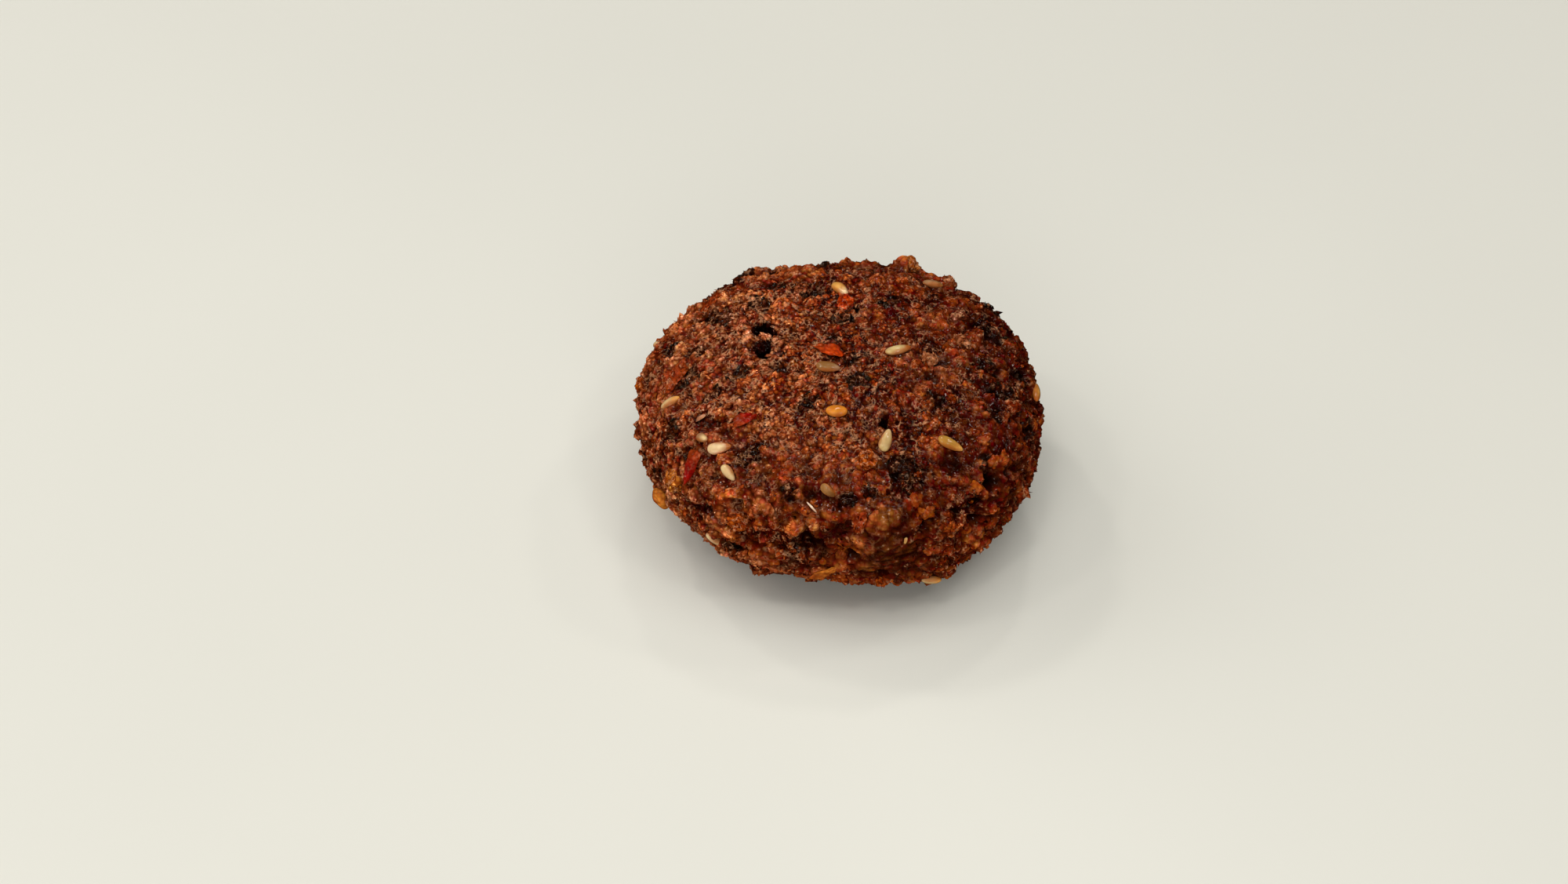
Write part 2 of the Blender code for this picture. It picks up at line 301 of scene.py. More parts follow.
# Wet stretches, where frying oil lies smooth and few grains stand out
WET_SIZE = 5.5 * MM
WET_SHIFT = Vector((2.9, 9.3, 5.1))
WET_LEVELS = (-0.3, 0.25)
WET_WALL_SHIFT = 0.3
WET_WALL = 0.95
WET_CROWN = 0.25
WET_RIGHT = 0.35
WET_LEFT_LOSS = 0.6
WET_HERB_LOSS = 0.7
STREAK_SIZE = Vector((1.0 / (5.0 * MM), 1.0 / (5.0 * MM), 1.0 / (0.55 * MM)))
STREAK_SPREAD = 1.1
STREAK_LEAST = 0.3
STREAK_RISE = 0.2 * MM
STREAK_OLIVE = srgb(128, 68, 22)

# Crust colours, from burnt to pale, with the level at which each is pure
CRUST_RAMP = (
    (0.0, srgb(60, 11, 2)),
    (0.26, srgb(124, 46, 11)),
    (0.5, srgb(168, 80, 32)),
    (0.72, srgb(204, 104, 44)),
    (0.9, srgb(226, 140, 76)),
    (1.0, srgb(238, 178, 122)),
)
TONE_SIZE = 3.4 * MM
TONE_SPREAD = 0.37
TONE_FINE_SIZE = 1.0 * MM
TONE_FINE_SPREAD = 0.22
TONE_CLOD_SPREAD = 0.12
# Painted light and sheen: the crust grows darker towards the right and, by the gains below, lighter
# and pinker towards the left; partly paler browning there, partly painted light and sheen from the
# left
TONE_RIGHT = 0.07
AMBER_LIFT = 0.16
LEFT_GAIN = 0.44
LEFT_PALE_AND_SHEEN = 0.42
# Painted shade: low crumb creases darken, more on the side wall, and the whole side wall darkens
LOW_SHADE = 0.25
LOW_SHADE_WALL = 0.4
WALL_SHADE = 0.12
LEFT_LIFT = 0.32
TONE_GAIN = 1.51
# Painted highlights: pale rims along crumb edges and pale dots in the middles of cells
RIM_HIGHLIGHT = srgb(238, 172, 124)
DOT_HIGHLIGHT = srgb(244, 194, 154)
GREEN_FALL = 1.5
BLUE_FALL = 2.0
CRUST_MAUVE = srgb(172, 104, 68)
GREYED_SIZE = 4.4 * MM
GREYED_SHIFT = Vector((7.7, 3.1, 0.4))
GREYED_LEVELS = (0.02, 0.34)
GREYED_SHARE = 0.42
GREYED_WALL_LOSS = 0.8
RED_LEVELS = (-0.34, -0.06)
RED_SHARE = 0.5
CRUST_RED = srgb(150, 46, 12)
AMBER_TONE = srgb(204, 94, 30)
HERB_DARK = srgb(34, 18, 8)
HERB_GREY = srgb(74, 42, 28)
# Painted shade: hollows, cracks and pit rims turn dark red, pit floors nearly black
HOLLOW_SHADE = srgb(46, 8, 2)
PIT_SHADE = srgb(14, 4, 2)
CRACK_SHADE = 0.75
PIT_EDGE_SHADE_LEVELS = (0.0, 0.15)
PIT_SHADE_LEVELS = (0.15, 0.75)
HOLLOW_BARE = 0.6
# Painted shade in the creases between clods
CREASE_SHADE = 0.3
CREASE_BARE = (0.2, 0.5)
HERB_BREAK_SIZE = 0.8 * MM
HERB_BREAK = 1.3
# Painted shade under the grains: the crust between them is darkened, less where it is wet
GAP_SHADE = 0.6

# Grain of the paints, with painted shade in the gaps between cells and painted highlights on rims
# and in cell middles
COAT_ROUGHNESS = 0.06
DOME_REACH = (0.2, 0.66)
DOME_HEIGHT = 0.6
# Painted glints: reach and draw of the pale dots in cell middles
DOT_REACH = (0.12, 0.28)
DOT_DRAW = (0.75, 1.0)
RIM_BREAK = (0.48, 0.6)
RIM_BREAK_SIZE = 1.7
RIDGE_HEIGHT = 0.2
# Tone range over which the painted highlights fade in
HIGHLIGHT_TONE_RANGE = (0.015, 0.11)
WET_RIMS = 0.15
WET_DOTS = 0.5
WET_DOMES = 0.12

# Patches of the crust that show: bearing, lift and spread in degrees
HERB_PATCHES = (
    (152, 30, 5), (173, 28, 3), (169, 20, 3), (-175, 26, 4), (-167, 41, 4), (-160, 31, 3),
    (-156, 17, 3), (-115, 50, 5), (138, 39, 4), (90, 63, 7), (116, 81, 4), (121, 33, 4),
    (56, 45, 4), (-34, 39, 4), (-1, 28, 4), (1, 18, 3), (-12, 23, 5), (-22, 23, 3),
    (22, 26, 3), (18, 22, 3), (-71, 65, 6), (-58, 80, 5), (-167, -3, 3), (-156, 2, 3),
    (-146, 16, 2), (-127, 26, 4), (-131, 6, 2), (-108, 19, 3), (-124, -5, 3), (-66, 24, 6),
    (-89, 18, 3), (-81, 20, 2), (-39, 17, 2), (-49, 10, 3), (-16, 12, 3),
)
HOLLOW_PATCHES = (
    (-162, 56, 4), (102, 40, 4), (-140, 27, 2), (-5, 44, 5), (-21, 44, 3), (-134, 16, 2),
    (-137, 4, 2), (-123, 12, 2), (-101, 4, 5), (-96, 0, 3), (-101, 19, 2), (-50, 22, 4),
    (-48, 2, 3), (-56, 8, 2), (-63, 10, 2), (-66, 7, 2), (-90, 9, 4), (-87, -2, 3),
    (-67, -4, 2), (-78, -9, 2), (-57, -8, 2),
)
AMBER_PATCHES = (
    (156, 21, 3), (126, 46, 5), (-171, 67, 7), (-144, 49, 7), (-160, 45, 3), (-171, 32, 2),
    (124, 18, 3), (-154, 23, 2), (-133, 63, 4), (57, 35, 6), (40, 30, 4), (19, 47, 4),
    (-18, 50, 4), (1, 37, 4), (19, 16, 2), (45, 10, 2), (-30, 53, 3), (-48, 49, 3),
    (-42, 43, 3), (-27, 36, 3), (-6, 32, 2), (-12, 14, 3), (-46, 34, 3), (-84, 58, 5),
    (-59, 60, 4), (-26, 27, 3), (-160, 5, 2), (-147, 15, 2), (-142, 0, 2), (-134, 22, 2),
    (-129, 12, 3), (-124, 15, 3), (-115, 8, 2), (-111, 6, 3), (-105, 14, 3), (-111, 25, 4),
    (-119, 2, 2), (-123, 2, 2), (-134, -1, 2), (-104, 9, 2), (-116, -4, 2), (-108, -4, 2),
    (-57, 30, 3), (-50, 29, 3), (-55, 20, 3), (-47, 14, 2), (-74, 22, 2), (-67, 15, 3),
    (-63, 13, 3), (-54, 13, 3), (-90, 14, 3), (-42, 3, 3), (-42, -3, 2), (-51, 0, 2),
    (-58, 6, 3), (-59, -3, 3), (-48, -11, 3), (-55, -13, 3), (-89, -17, 3),
)
PALE_PATCHES = (
    (162, 40, 8), (-151, 25, 3), (-148, 15, 2), (172, 38, 4), (95, 21, 4), (81, 28, 4),
    (-160, 24, 3), (175, 47, 5), (-78, 4, 5), (-82, -2, 3), (-26, 5, 3), (-33, -2, 3),
)
SMOOTH_PATCHES = ((-75, 9, 7), (-76, 1, 8), (-79, -7, 7))
SHOWN_PATCHES = (HERB_PATCHES, HOLLOW_PATCHES, AMBER_PATCHES, PALE_PATCHES, SMOOTH_PATCHES)
HERB, HOLLOW, AMBER_KIND, PALE, SMOOTH = range(5)
PATCH_TINTS = (0.75, 0.85, 0.6, 0.7, 0.8)
HERB_EDGE = (0.18, 0.6)
PATCH_EDGE = (0.55, 1.3)
PATCH_WANDER = 0.55
PATCH_WANDER_SIZE = 1.3 * MM
PATCH_REACH = 0.24
PATCH_RISES = (-0.05 * MM, -0.9 * MM, 0.35 * MM, 0.0, 0.1 * MM)
FAR_PATCHES = (40, 24, 60, 14, 3)
FAR_PATCH_SPREADS = (2.5, 5.5)
FAR_PATCH_DRAW = 91
FAR_BACK = 0.5
FAR_BELOW = 0.6
FAR_LEAST = 0.15
FAR_TOP = 0.35

# Clumps: uneven lumps of crust, larger on the side wall
CLUMP_COUNT = 900
CLUMP_GAP = 1.25 * MM
CLUMP_SIZES_CROWN = (0.55 * MM, 1.05 * MM)
CLUMP_SIZES_WALL = (0.8 * MM, 1.9 * MM)
CLUMP_SINK = 0.27
CLUMP_SINK_SIDE = 0.2
CLUMP_TILT = 0.5
CLUMP_ROUGHNESS = 0.6
CLUMP_DRAW = 29
CLUMP_AMBER_SHARE = 0.26
CLUMP_AMBER_TINT = 0.65
CLUMP_DARK_SHARE = 0.2
CLUMP_DARK = 0.6
CLUMP_BRIGHTNESS = (0.8, 1.15)
CLUMP_BARE = 0.3
CLUMP_CLEAR = 1.8
CLUMP_LARGE = 1.3 * MM
CLUMP_SMALLNESS = 1.6
CLUMP_STRETCH = (1.0, 1.5)
CLUMP_FLATNESS = (0.5, 0.8)

# Grains: jagged crumbs over everything but the toppings, coarse ones first and fine ones between
GRAIN_CLEAR = 0.8
GRAIN_FORMS = 24
DARK_BELOW = 0.022
ORANGE_ABOVE = 0.26
RED_OVER_GREEN = 5.5
GRAIN_JAG = (0.6, 1.35)
GRAIN_DRAW = 17
COARSE_GAP = 0.58 * MM
COARSE_SIZES = (0.42 * MM, 0.95 * MM)
COARSE_CAP = 6300
FINE_GAP = 0.26 * MM
FINE_SIZES = (0.24 * MM, 0.46 * MM)
FINE_CAP = 24000
GRAIN_BARE = 0.25
GRAIN_UNDER = -0.9
GRAIN_FLOOR = 0.6
GRAIN_FLATNESS = (0.6, 1.0)
GRAIN_LEAN = 0.5
GRAIN_SINK = 0.2
GRAIN_STRETCH = (1.0, 1.9)
FIBRE_STRETCH = (1.4, 3.2)
GRAIN_BRIGHTNESS = (-0.6, 0.45)
# Painted highlights: the share of fine grains made pale, and by how much
HIGHLIGHT_FIBRE_SHARE = 0.2
HIGHLIGHT_FIBRE_LIFT = 0.8
BARE_AMBER_SHARE = 0.5
WET_BARE_SHARE = 0.95

# Herb flecks: thin dark scraps of leaf in the herb patches
FLECK_GAP = 1.1 * MM
FLECK_CAP = 180
FLECK_HERB = 0.35
FLECK_CLEAR = 1.2
FLECK_FLOOR = 0.5 * MM
FLECK_TILT = 0.3
FLECK_LENGTHS = (0.6 * MM, 1.4 * MM)
FLECK_WIDTHS = (0.35 * MM, 0.7 * MM)
FLECK_THICKNESS = 0.16 * MM
FLECK_DRAW = 43
FLECK_COLOURS = (srgb(36, 24, 12), srgb(46, 32, 20), srgb(62, 44, 32), srgb(24, 14, 8))

# Studio
CAMERA_LIFT = 44.2
CAMERA_TARGET = Vector((-7.35 * MM, -3.57 * MM, 14.4 * MM))
CAMERA_DISTANCE = 0.52
CAMERA_LENS = 88.9
LAMP_DISTANCE = 0.95
FLOOR_COLOUR = srgb(228, 229, 221)
FLOOR_CLOUD = 120.0 * MM
FLOOR_DIM = 0.97
FLOOR_ROUGHNESS = 0.35
FLOOR_SHINE = 0.3
LAMP_AIM = Vector((0.0, 0.0, 15.0 * MM))
SOFT_COLOUR = (1.0, 0.98, 0.95)
GLINT_COLOUR = (1.0, 0.94, 0.88)
GLINT_SIZE = 0.08
SKY_COLOUR = (1.0, 0.93, 0.82, 1.0)
SKY_POWER = 0.1

# Soft lamps: name, bearing, lift, width, depth, power
SOFT_LAMPS = (
    ("ceiling", -75.0, 78.0, 0.8, 0.8, 4.6),
    ("front_fill", -98.0, 30.0, 0.9, 0.6, 3.2),
    ("panel_left", 165.0, 32.0, 0.8, 0.8, 3.0),
)

# Small lamps that glint in the gloss: name, bearing, lift, power
GLINT_LAMPS = (
    ("window_left", 138.0, 54.0, 0.7),
    ("window_back", 80.0, 58.0, 0.45),
    ("window_right", 20.0, 52.0, 0.4),
    ("spot_left", -165.0, 58.0, 0.45),
    ("spot_front", -110.0, 66.0, 0.45),
    ("spot_right", -45.0, 55.0, 0.4),
)


def shaded(tone, share):
    """A tone made brighter or darker: it turns redder as it darkens and paler as it brightens."""
    return Vector((tone[0] * share, tone[1] * share ** GREEN_FALL, tone[2] * share ** BLUE_FALL))


def smooth_step(low, high, value):
    """Nought below the first level, one beyond the second, and a soft rise between."""
    share = min(max((value - low) / (high - low), 0.0), 1.0)
    return share * share * (3.0 - 2.0 * share)


def direction_of(bearing, lift):
    """Unit vector from the heart to a place given in degrees."""
    turn = math.radians(bearing)
    rise = math.radians(lift)
    return Vector((math.cos(rise) * math.cos(turn), math.cos(rise) * math.sin(turn), math.sin(rise)))


def lift_of(way):
    """Lift of a unit vector in degrees."""
    return math.degrees(math.asin(max(-1.0, min(1.0, way.z))))


def flat_of(corner):
    """A corner without its height."""
    return Vector((corner.x, corner.y, 0.0))


def add_piece(name, data):
    """Object of a mesh, a lamp or a camera, in the scene."""
    piece = bpy.data.objects.new(name, data)
    bpy.context.scene.collection.objects.link(piece)
    return piece


def tree_of(points):
    """Search tree over a list of points."""
    tree = kdtree.KDTree(len(points))
    for index, point in enumerate(points):
        tree.insert(point, index)
    tree.balance()
    return tree


# Form of the part

def plan_of(spot):
    """How far out a place lies in plan, with one at the outline."""
    across = abs(spot.x / HALF_WIDTH) ** PLAN_POWER + abs(spot.y / HALF_DEPTH) ** PLAN_POWER
    return across ** (1.0 / PLAN_POWER)


def half_form(height):
    """Rise and roundness of the crown, or of the belly for a place below the girth."""
    if height > 0.0:
        return CROWN_RISE, CROWN_POWER
    return BELLY_DROP, BELLY_POWER


def oval_reach(way):
    """Distance from the heart to the smooth oval along a unit vector."""
    half, power = half_form(way.z)
    return (plan_of(way) ** power + abs(way.z / half) ** power) ** (-1.0 / power)


def oval_outward(spot):
    """Outward unit normal of the smooth oval at one of its points, seen from the heart."""
    half, power = half_form(spot.z)
    ease = max(plan_of(spot), 1.0e-6) ** (power - PLAN_POWER)
    sides = []
    for side, width in ((spot.x, HALF_WIDTH), (spot.y, HALF_DEPTH)):
        sides.append(math.copysign(ease * abs(side / width) ** (PLAN_POWER - 1.0) / width, side))
    rise = math.copysign(abs(spot.z / half) ** (power - 1.0) / half, spot.z)
    return Vector((*sides, rise)).normalized()


def brow_rise(spot, way):
    """A ridge at the edge of the crown, broken into longer and shorter stretches."""
    apart = (lift_of(way) - BROW_LIFT) / BROW_SPREAD
    share = BROW_MEAN + noise.noise(spot / BROW_BREAK)
    return BROW_RISE * share * math.exp(-apart * apart)


def placed_forms(places):
    """Direction, spread and size of named humps or pits."""
    return [(direction_of(b, l), math.radians(spread), size * MM) for b, l, spread, size in places]


HUMPS = placed_forms(SWELLS)
HOLES = placed_forms(PITS)


def swell_rise(way):
    """Named bulges, dents and pits, each a soft round hump or hollow."""
    total = 0.0
    for middle, spread, rise in HUMPS:
        apart = way.angle(middle) / spread
        total += rise * math.exp(-apart * apart)
    for middle, spread, depth in HOLES:
        apart = way.angle(middle) / spread
        total -= depth * math.exp(-apart ** 4)
    return total


def drift_at(spot):
    """A small sideways wander that keeps the crumbs from lying in straight cells."""
    place = spot / DRIFT_SIZE
    return Vector([noise.noise(place + shift) for shift in DRIFT_SHIFTS]) * CRUMB_DRIFT


def wall_share(way):
    """One on the side wall and the belly, nought on the crown."""
    return 1.0 - smooth_step(WALL_LIFT, CROWN_LIFT, lift_of(way))


def crumb_form(spot, way):
    """Rise of the rounded crumbs, and how far out of a crease the place lies."""
    apart, centres = noise.voronoi(spot / CRUMB_SIZE + drift_at(spot) + CRUMB_SHIFT)
    body = smooth_step(0.0, CREASE_SHARE, apart[1] - apart[0])
    height = CRUMB_HEIGHT_MEAN + CRUMB_HEIGHT_SPREAD * noise.cell(centres[0] * CRUMB_DRAW_STRIDE)
    rise = CRUMB_RISE_CROWN + (CRUMB_RISE_WALL - CRUMB_RISE_CROWN) * wall_share(way)
    return rise * (body * height - CRUMB_LEVEL), body


def broad_rise(spot, way):
    """Rise of the part's crust above the smooth oval without its crumbs."""
    lump_rise = LUMP_RISE * noise.noise(spot / LUMP_SIZE + LUMP_SHIFT)
    return brow_rise(spot, way) + swell_rise(way) + lump_rise


def crust_point(way):
    """Point of the part's crust along a unit vector from the heart."""
    spot = way * oval_reach(way)
    crumb, _ = crumb_form(spot, way)
    point = HEART + spot + oval_outward(spot) * (broad_rise(spot, way) + crumb)
    point.z = max(point.z, 0.0)
    return point


def frame_at(point, along, outward):
    """Frame at a point with its first and third axes given."""
    seat = Matrix((along, outward.cross(along), outward)).transposed().to_4x4()
    seat.translation = point
    return seat


def seat_at(point, outward, turn):
    """Frame at a point with its third axis outward, turned by an angle in radians."""
    aside = outward.orthogonal().normalized()
    return frame_at(point, Matrix.Rotation(turn, 3, outward) @ aside, outward)


def seat_on_crust(bearing, lift, turn, span):
    """Frame of a piece pressed on the crust: first axis along it, third axis outward."""
    way = direction_of(bearing, lift)
    level = direction_of(bearing + 90.0, 0.0)
    upward = way.cross(level)
    centre = crust_point(way)
    step = 0.5 * span / (centre - HEART).length
    asides = (level, -level, upward, -upward)
    sides = [crust_point((way + aside * step).normalized()) for aside in asides]
    outward = (sides[0] - sides[1]).cross(sides[2] - sides[3]).normalized()
    flat_level = (level - outward * level.dot(outward)).normalized()
    along = Matrix.Rotation(math.radians(turn), 3, outward) @ flat_level
    return frame_at(centre.lerp(sum(sides, Vector()) / len(sides), SEAT_SHARE), along, outward)


def crumb_seat(bearing, lift, width):
    """Frame of a crumb or skin, turned by its own bearing."""
    return seat_on_crust(bearing, lift, CRUMB_TURN_STEP * bearing, width * MM)


def far_places(count, taken, draw):
    """Places on the far side, each clear of the ones taken before it."""
    found = []
    while len(found) < count:
        bearing = draw.uniform(*FAR_BEARINGS)
        lift = draw.uniform(*FAR_LIFTS)
        way = direction_of(bearing, lift)
        if all((way - other).length > FAR_GAP for other in taken):
            taken.append(way)
            found.append((bearing, lift))
    return found


def list_toppings():
    """Seeds, flakes and crumbs with the part's places and draws."""
    draw = random.Random(FAR_DRAW)
    shown = SHOWN_SEEDS + SHOWN_FLAKES + SHOWN_CRUMBS + (HANGING_SKIN,)
    taken = [direction_of(place[0], place[1]) for place in shown]
    seeds = list(SHOWN_SEEDS)
    for bearing, lift in far_places(FAR_SEEDS, taken, draw):
        turn = draw.uniform(0.0, 180.0)
        colour = FAR_SEED_COLOURS[len(seeds) % len(FAR_SEED_COLOURS)]
        seeds.append((bearing, lift, turn, draw.uniform(*FAR_SEED_SHARES), colour, CREAM))
    flakes = list(SHOWN_FLAKES)
    for bearing, lift in far_places(FAR_FLAKES, taken, draw):
        length = draw.uniform(*FAR_FLAKE_LENGTHS)
        colour = FAR_FLAKE_COLOURS[len(flakes) % len(FAR_FLAKE_COLOURS)]
        flakes.append((bearing, lift, draw.uniform(0.0, 180.0), length, FAR_FLAKE_WIDTH, colour))
    crumbs = list(SHOWN_CRUMBS)
    for bearing, lift in far_places(FAR_CRUMBS, taken, draw):
        colour = FAR_CRUMB_COLOURS[len(crumbs) % len(FAR_CRUMB_COLOURS)]
        crumbs.append((bearing, lift, draw.uniform(*FAR_CRUMB_SIZES), FAR_CRUMB_STAND, colour))
    return seeds, flakes, crumbs


# Fine crust

Ground = namedtuple("Ground", "tone herb amber bare wet")


class Beds:
    """Footprints of the toppings, where the crust stays smooth and carries no grains."""

    def __init__(self, seeds, flakes, crumbs):
        self.prints = []
        for bearing, lift, turn, share, _, _ in seeds:
            seat = seat_on_crust(bearing, lift, turn, SEED_WIDTH)
            self.press(seat, SEED_BED * SEED_LENGTH * share, BED_WIDTH * SEED_WIDTH)
        for bearing, lift, turn, length, width, _ in flakes:
            seat = seat_on_crust(bearing, lift, turn, width * MM)
            self.press(seat, FLAKE_BED * length * MM, BED_WIDTH * width * MM)
        for bearing, lift, width, *_ in crumbs + [HANGING_SKIN]:
            seat = crumb_seat(bearing, lift, width)
            self.press(seat, CRUMB_BED * width * MM, BED_WIDTH * width * MM)
        for bearing, lift, turn, length, width, _ in SHOWN_HUSKS:
            seat = seat_on_crust(bearing, lift, turn, width * MM)
            self.press(seat, HUSK_BED[0] * length * MM, HUSK_BED[1] * width * MM)
        self.tree = tree_of([back.inverted().translation for back, _, _ in self.prints])

    def press(self, seat, half_length, half_width):
        self.prints.append((seat.inverted(), half_length, half_width))

    def apart(self, point):
        """Distance from the nearest topping in shares of its footprint: one is its rim."""
        _, index, distance = self.tree.find(point)
        if distance > BED_REACH:
            return BED_FAR
        back, half_length, half_width = self.prints[index]
        local = back @ point
        return math.hypot(local.x / half_length, local.y / half_width)


class Patches:
    """Colour patches of the crust, those that show and those of the far sides."""

    def __init__(self):
        draw = random.Random(FAR_PATCH_DRAW)
        self.all = []
        for kind, places in enumerate(SHOWN_PATCHES):
            for bearing, lift, spread in places:
                self.all.append((direction_of(bearing, lift), math.radians(spread), kind))
        for kind, count in enumerate(FAR_PATCHES):
            for way in self.far_ways(count, draw):
                self.all.append((way, math.radians(draw.uniform(*FAR_PATCH_SPREADS)), kind))
        self.tree = tree_of([way for way, _, _ in self.all])

    def far_ways(self, count, draw):
        """Directions that the shown side doesn't hold: the back and the belly."""
        found = []
        while len(found) < count:
            way = Vector([draw.gauss(0.0, 1.0) for _ in range(3)]).normalized()
            away = FAR_BACK * way.y - FAR_BELOW * way.z
            if away > FAR_LEAST and way.z < FAR_TOP:
                found.append(way)
        return found

    def weights(self, spot, way):
        """Share of each kind at a place, with ragged edges."""
        shares = [0.0] * len(SHOWN_PATCHES)
        wander = PATCH_WANDER * noise.noise(spot / PATCH_WANDER_SIZE)
        for _, index, distance in self.tree.find_range(way, PATCH_REACH):
            _, spread, kind = self.all[index]
            share = 1.0 - smooth_step(*PATCH_EDGE, distance / spread + wander)
            shares[kind] = max(shares[kind], share)
        break_up = 1.0 + HERB_BREAK * noise.noise(spot / HERB_BREAK_SIZE)
        shares[HERB] = smooth_step(*HERB_EDGE, shares[HERB] * break_up)
        return shares


def cell_form(place, crease):
    """Body of the cell at a place, one beyond its creases, and its draw from minus one to one."""
    apart, centres = noise.voronoi(place)
    return smooth_step(0.0, crease, apart[1] - apart[0]), noise.cell(centres[0] * DRAW_STRIDE)


def ramp_colour(level):
    """Colour of the crust at a level from burnt to pale."""
    level = min(max(level, 0.0), 1.0)
    for (low, low_colour), (high, high_colour) in zip(CRUST_RAMP, CRUST_RAMP[1:]):
        if level <= high:
            return low_colour.lerp(high_colour, (level - low) / (high - low))
    return CRUST_RAMP[-1][1]


def near_pit(way):
    """True beside a wide pit, where a clump would reach over its rim."""
    wide = [hole for hole, width in zip(HOLES, PIT_WIDTHS) if width >= 1.0]
    return any(way.angle(middle) < spread + PIT_MARGIN for middle, spread, _ in wide)


def crack_share(spot):
    """One on the line of a winding crack, nought away from it."""
    line = abs(noise.noise(spot / CRACK_SIZE + drift_at(spot) + CRACK_SHIFT))
    reach = noise.noise(spot / CRACK_REACH_SIZE - CRACK_SHIFT)
    return (1.0 - smooth_step(0.0, CRACK_WIDTH, line)) * smooth_step(*CRACK_REACH, reach)


def pit_share(spot, way):
    """One inside a named pit, nought outside, with an uneven rim."""
    wander = 1.0 + PIT_WANDER * noise.noise(spot / PIT_WANDER_SIZE)
    near = min(way.angle(hole[0]) / (hole[1] * width) for hole, width in zip(HOLES, PIT_WIDTHS))
    return math.exp(-((near * wander) ** 4))


def streak_at(spot):
    """Level streaks of the smooth face, from minus one to one."""
    return noise.noise(Vector([side * share for side, share in zip(spot, STREAK_SIZE)]))


def tone_of(spot, way, shares, clod, clod_draw, body):
    """Colour of the crust from its patch and its clod, with painted shade in creases, hollows and on
    the side wall, and painted light and sheen towards the left.
    """
    wall = wall_share(way)
    left = max(-way.x, 0.0)
    herb, hollow_shade, amber, pale, smooth = [share * tint for share, tint in zip(shares, PATCH_TINTS)]
    level = 0.5 + TONE_SPREAD * noise.noise(spot / TONE_SIZE)
    level += TONE_FINE_SPREAD * noise.noise(spot / TONE_FINE_SIZE)
    level += TONE_CLOD_SPREAD * clod_draw - TONE_RIGHT * way.x
    level += AMBER_LIFT * shares[AMBER_KIND]
    tone = ramp_colour(level)
    # Greyed patches are the crust's own mauve; towards the left the mauve also stands for painted
    # sheen
    field = noise.noise(spot / GREYED_SIZE + GREYED_SHIFT)
    greyed_and_sheen = GREYED_SHARE * smooth_step(*GREYED_LEVELS, field) * (1.0 - GREYED_WALL_LOSS * wall)
    greyed_and_sheen += LEFT_PALE_AND_SHEEN * left
    tone = tone.lerp(CRUST_MAUVE * (0.5 + 0.8 * level), max(greyed_and_sheen, pale))
    red = RED_SHARE * (1.0 - smooth_step(*RED_LEVELS, field))
    tone = tone.lerp(CRUST_RED * (0.5 + level), red * (1.0 - shares[AMBER_KIND]))
    tone = tone.lerp(AMBER_TONE * (0.6 + 0.7 * level), amber)
    tone = tone.lerp(HERB_DARK if clod_draw > 0.0 else HERB_GREY, herb)
    streak = shaded(STREAK_OLIVE, max(1.0 + STREAK_SPREAD * streak_at(spot), STREAK_LEAST))
    # Hollows take painted shade in dark red
    tone = tone.lerp(streak, smooth).lerp(HOLLOW_SHADE, hollow_shade)
    # Painted shade: darker in clod creases, in low crumb creases and on the side wall
    low = LOW_SHADE + LOW_SHADE_WALL * wall
    depth = (CREASE_SHADE + (1.0 - CREASE_SHADE) * clod) * (1.0 - low * (1.0 - body))
    depth *= 1.0 - WALL_SHADE * wall
    # Painted light: lighter towards the left, darker towards the right
    sideways = 1.0 - LEFT_GAIN * way.x + LEFT_LIFT * left
    return shaded(tone, TONE_GAIN * sideways * depth)


def wet_share(spot, way, shares):
    """How smooth and oily a place is: most on the side wall, least in the herbs."""
    wall = wall_share(way)
    right = max(way.x, 0.0)
    most = WET_CROWN + (WET_WALL - WET_CROWN) * max(wall, right)
    most *= 1.0 - WET_LEFT_LOSS * max(-way.x, 0.0)
    field = noise.noise(spot / WET_SIZE + WET_SHIFT) + max(WET_WALL_SHIFT * wall, WET_RIGHT * right)
    patchy = most * smooth_step(*WET_LEVELS, field)
    return max(patchy * (1.0 - WET_HERB_LOSS * shares[HERB]), shares[SMOOTH])


def fine_rise(spot, way, shares, clod, clod_draw, grain, grain_draw):
    """Rise of the clods, grains, patches and streaks on the crumbs."""
    height = CLOD_RISE_CROWN + (CLOD_RISE_WALL - CLOD_RISE_CROWN) * wall_share(way)
    height *= 1.0 - SMOOTH_CLOD_LOSS * shares[SMOOTH]
    fine = height * (clod * (0.8 + 0.3 * clod_draw) - CLOD_LEVEL)
    fine += GRAIN_RISE * (1.0 - shares[SMOOTH]) * (grain * (0.9 + 0.4 * grain_draw) - GRAIN_LEVEL)
    fine += sum(share * step for share, step in zip(shares, PATCH_RISES))
    return fine + STREAK_RISE * shares[SMOOTH] * streak_at(spot)


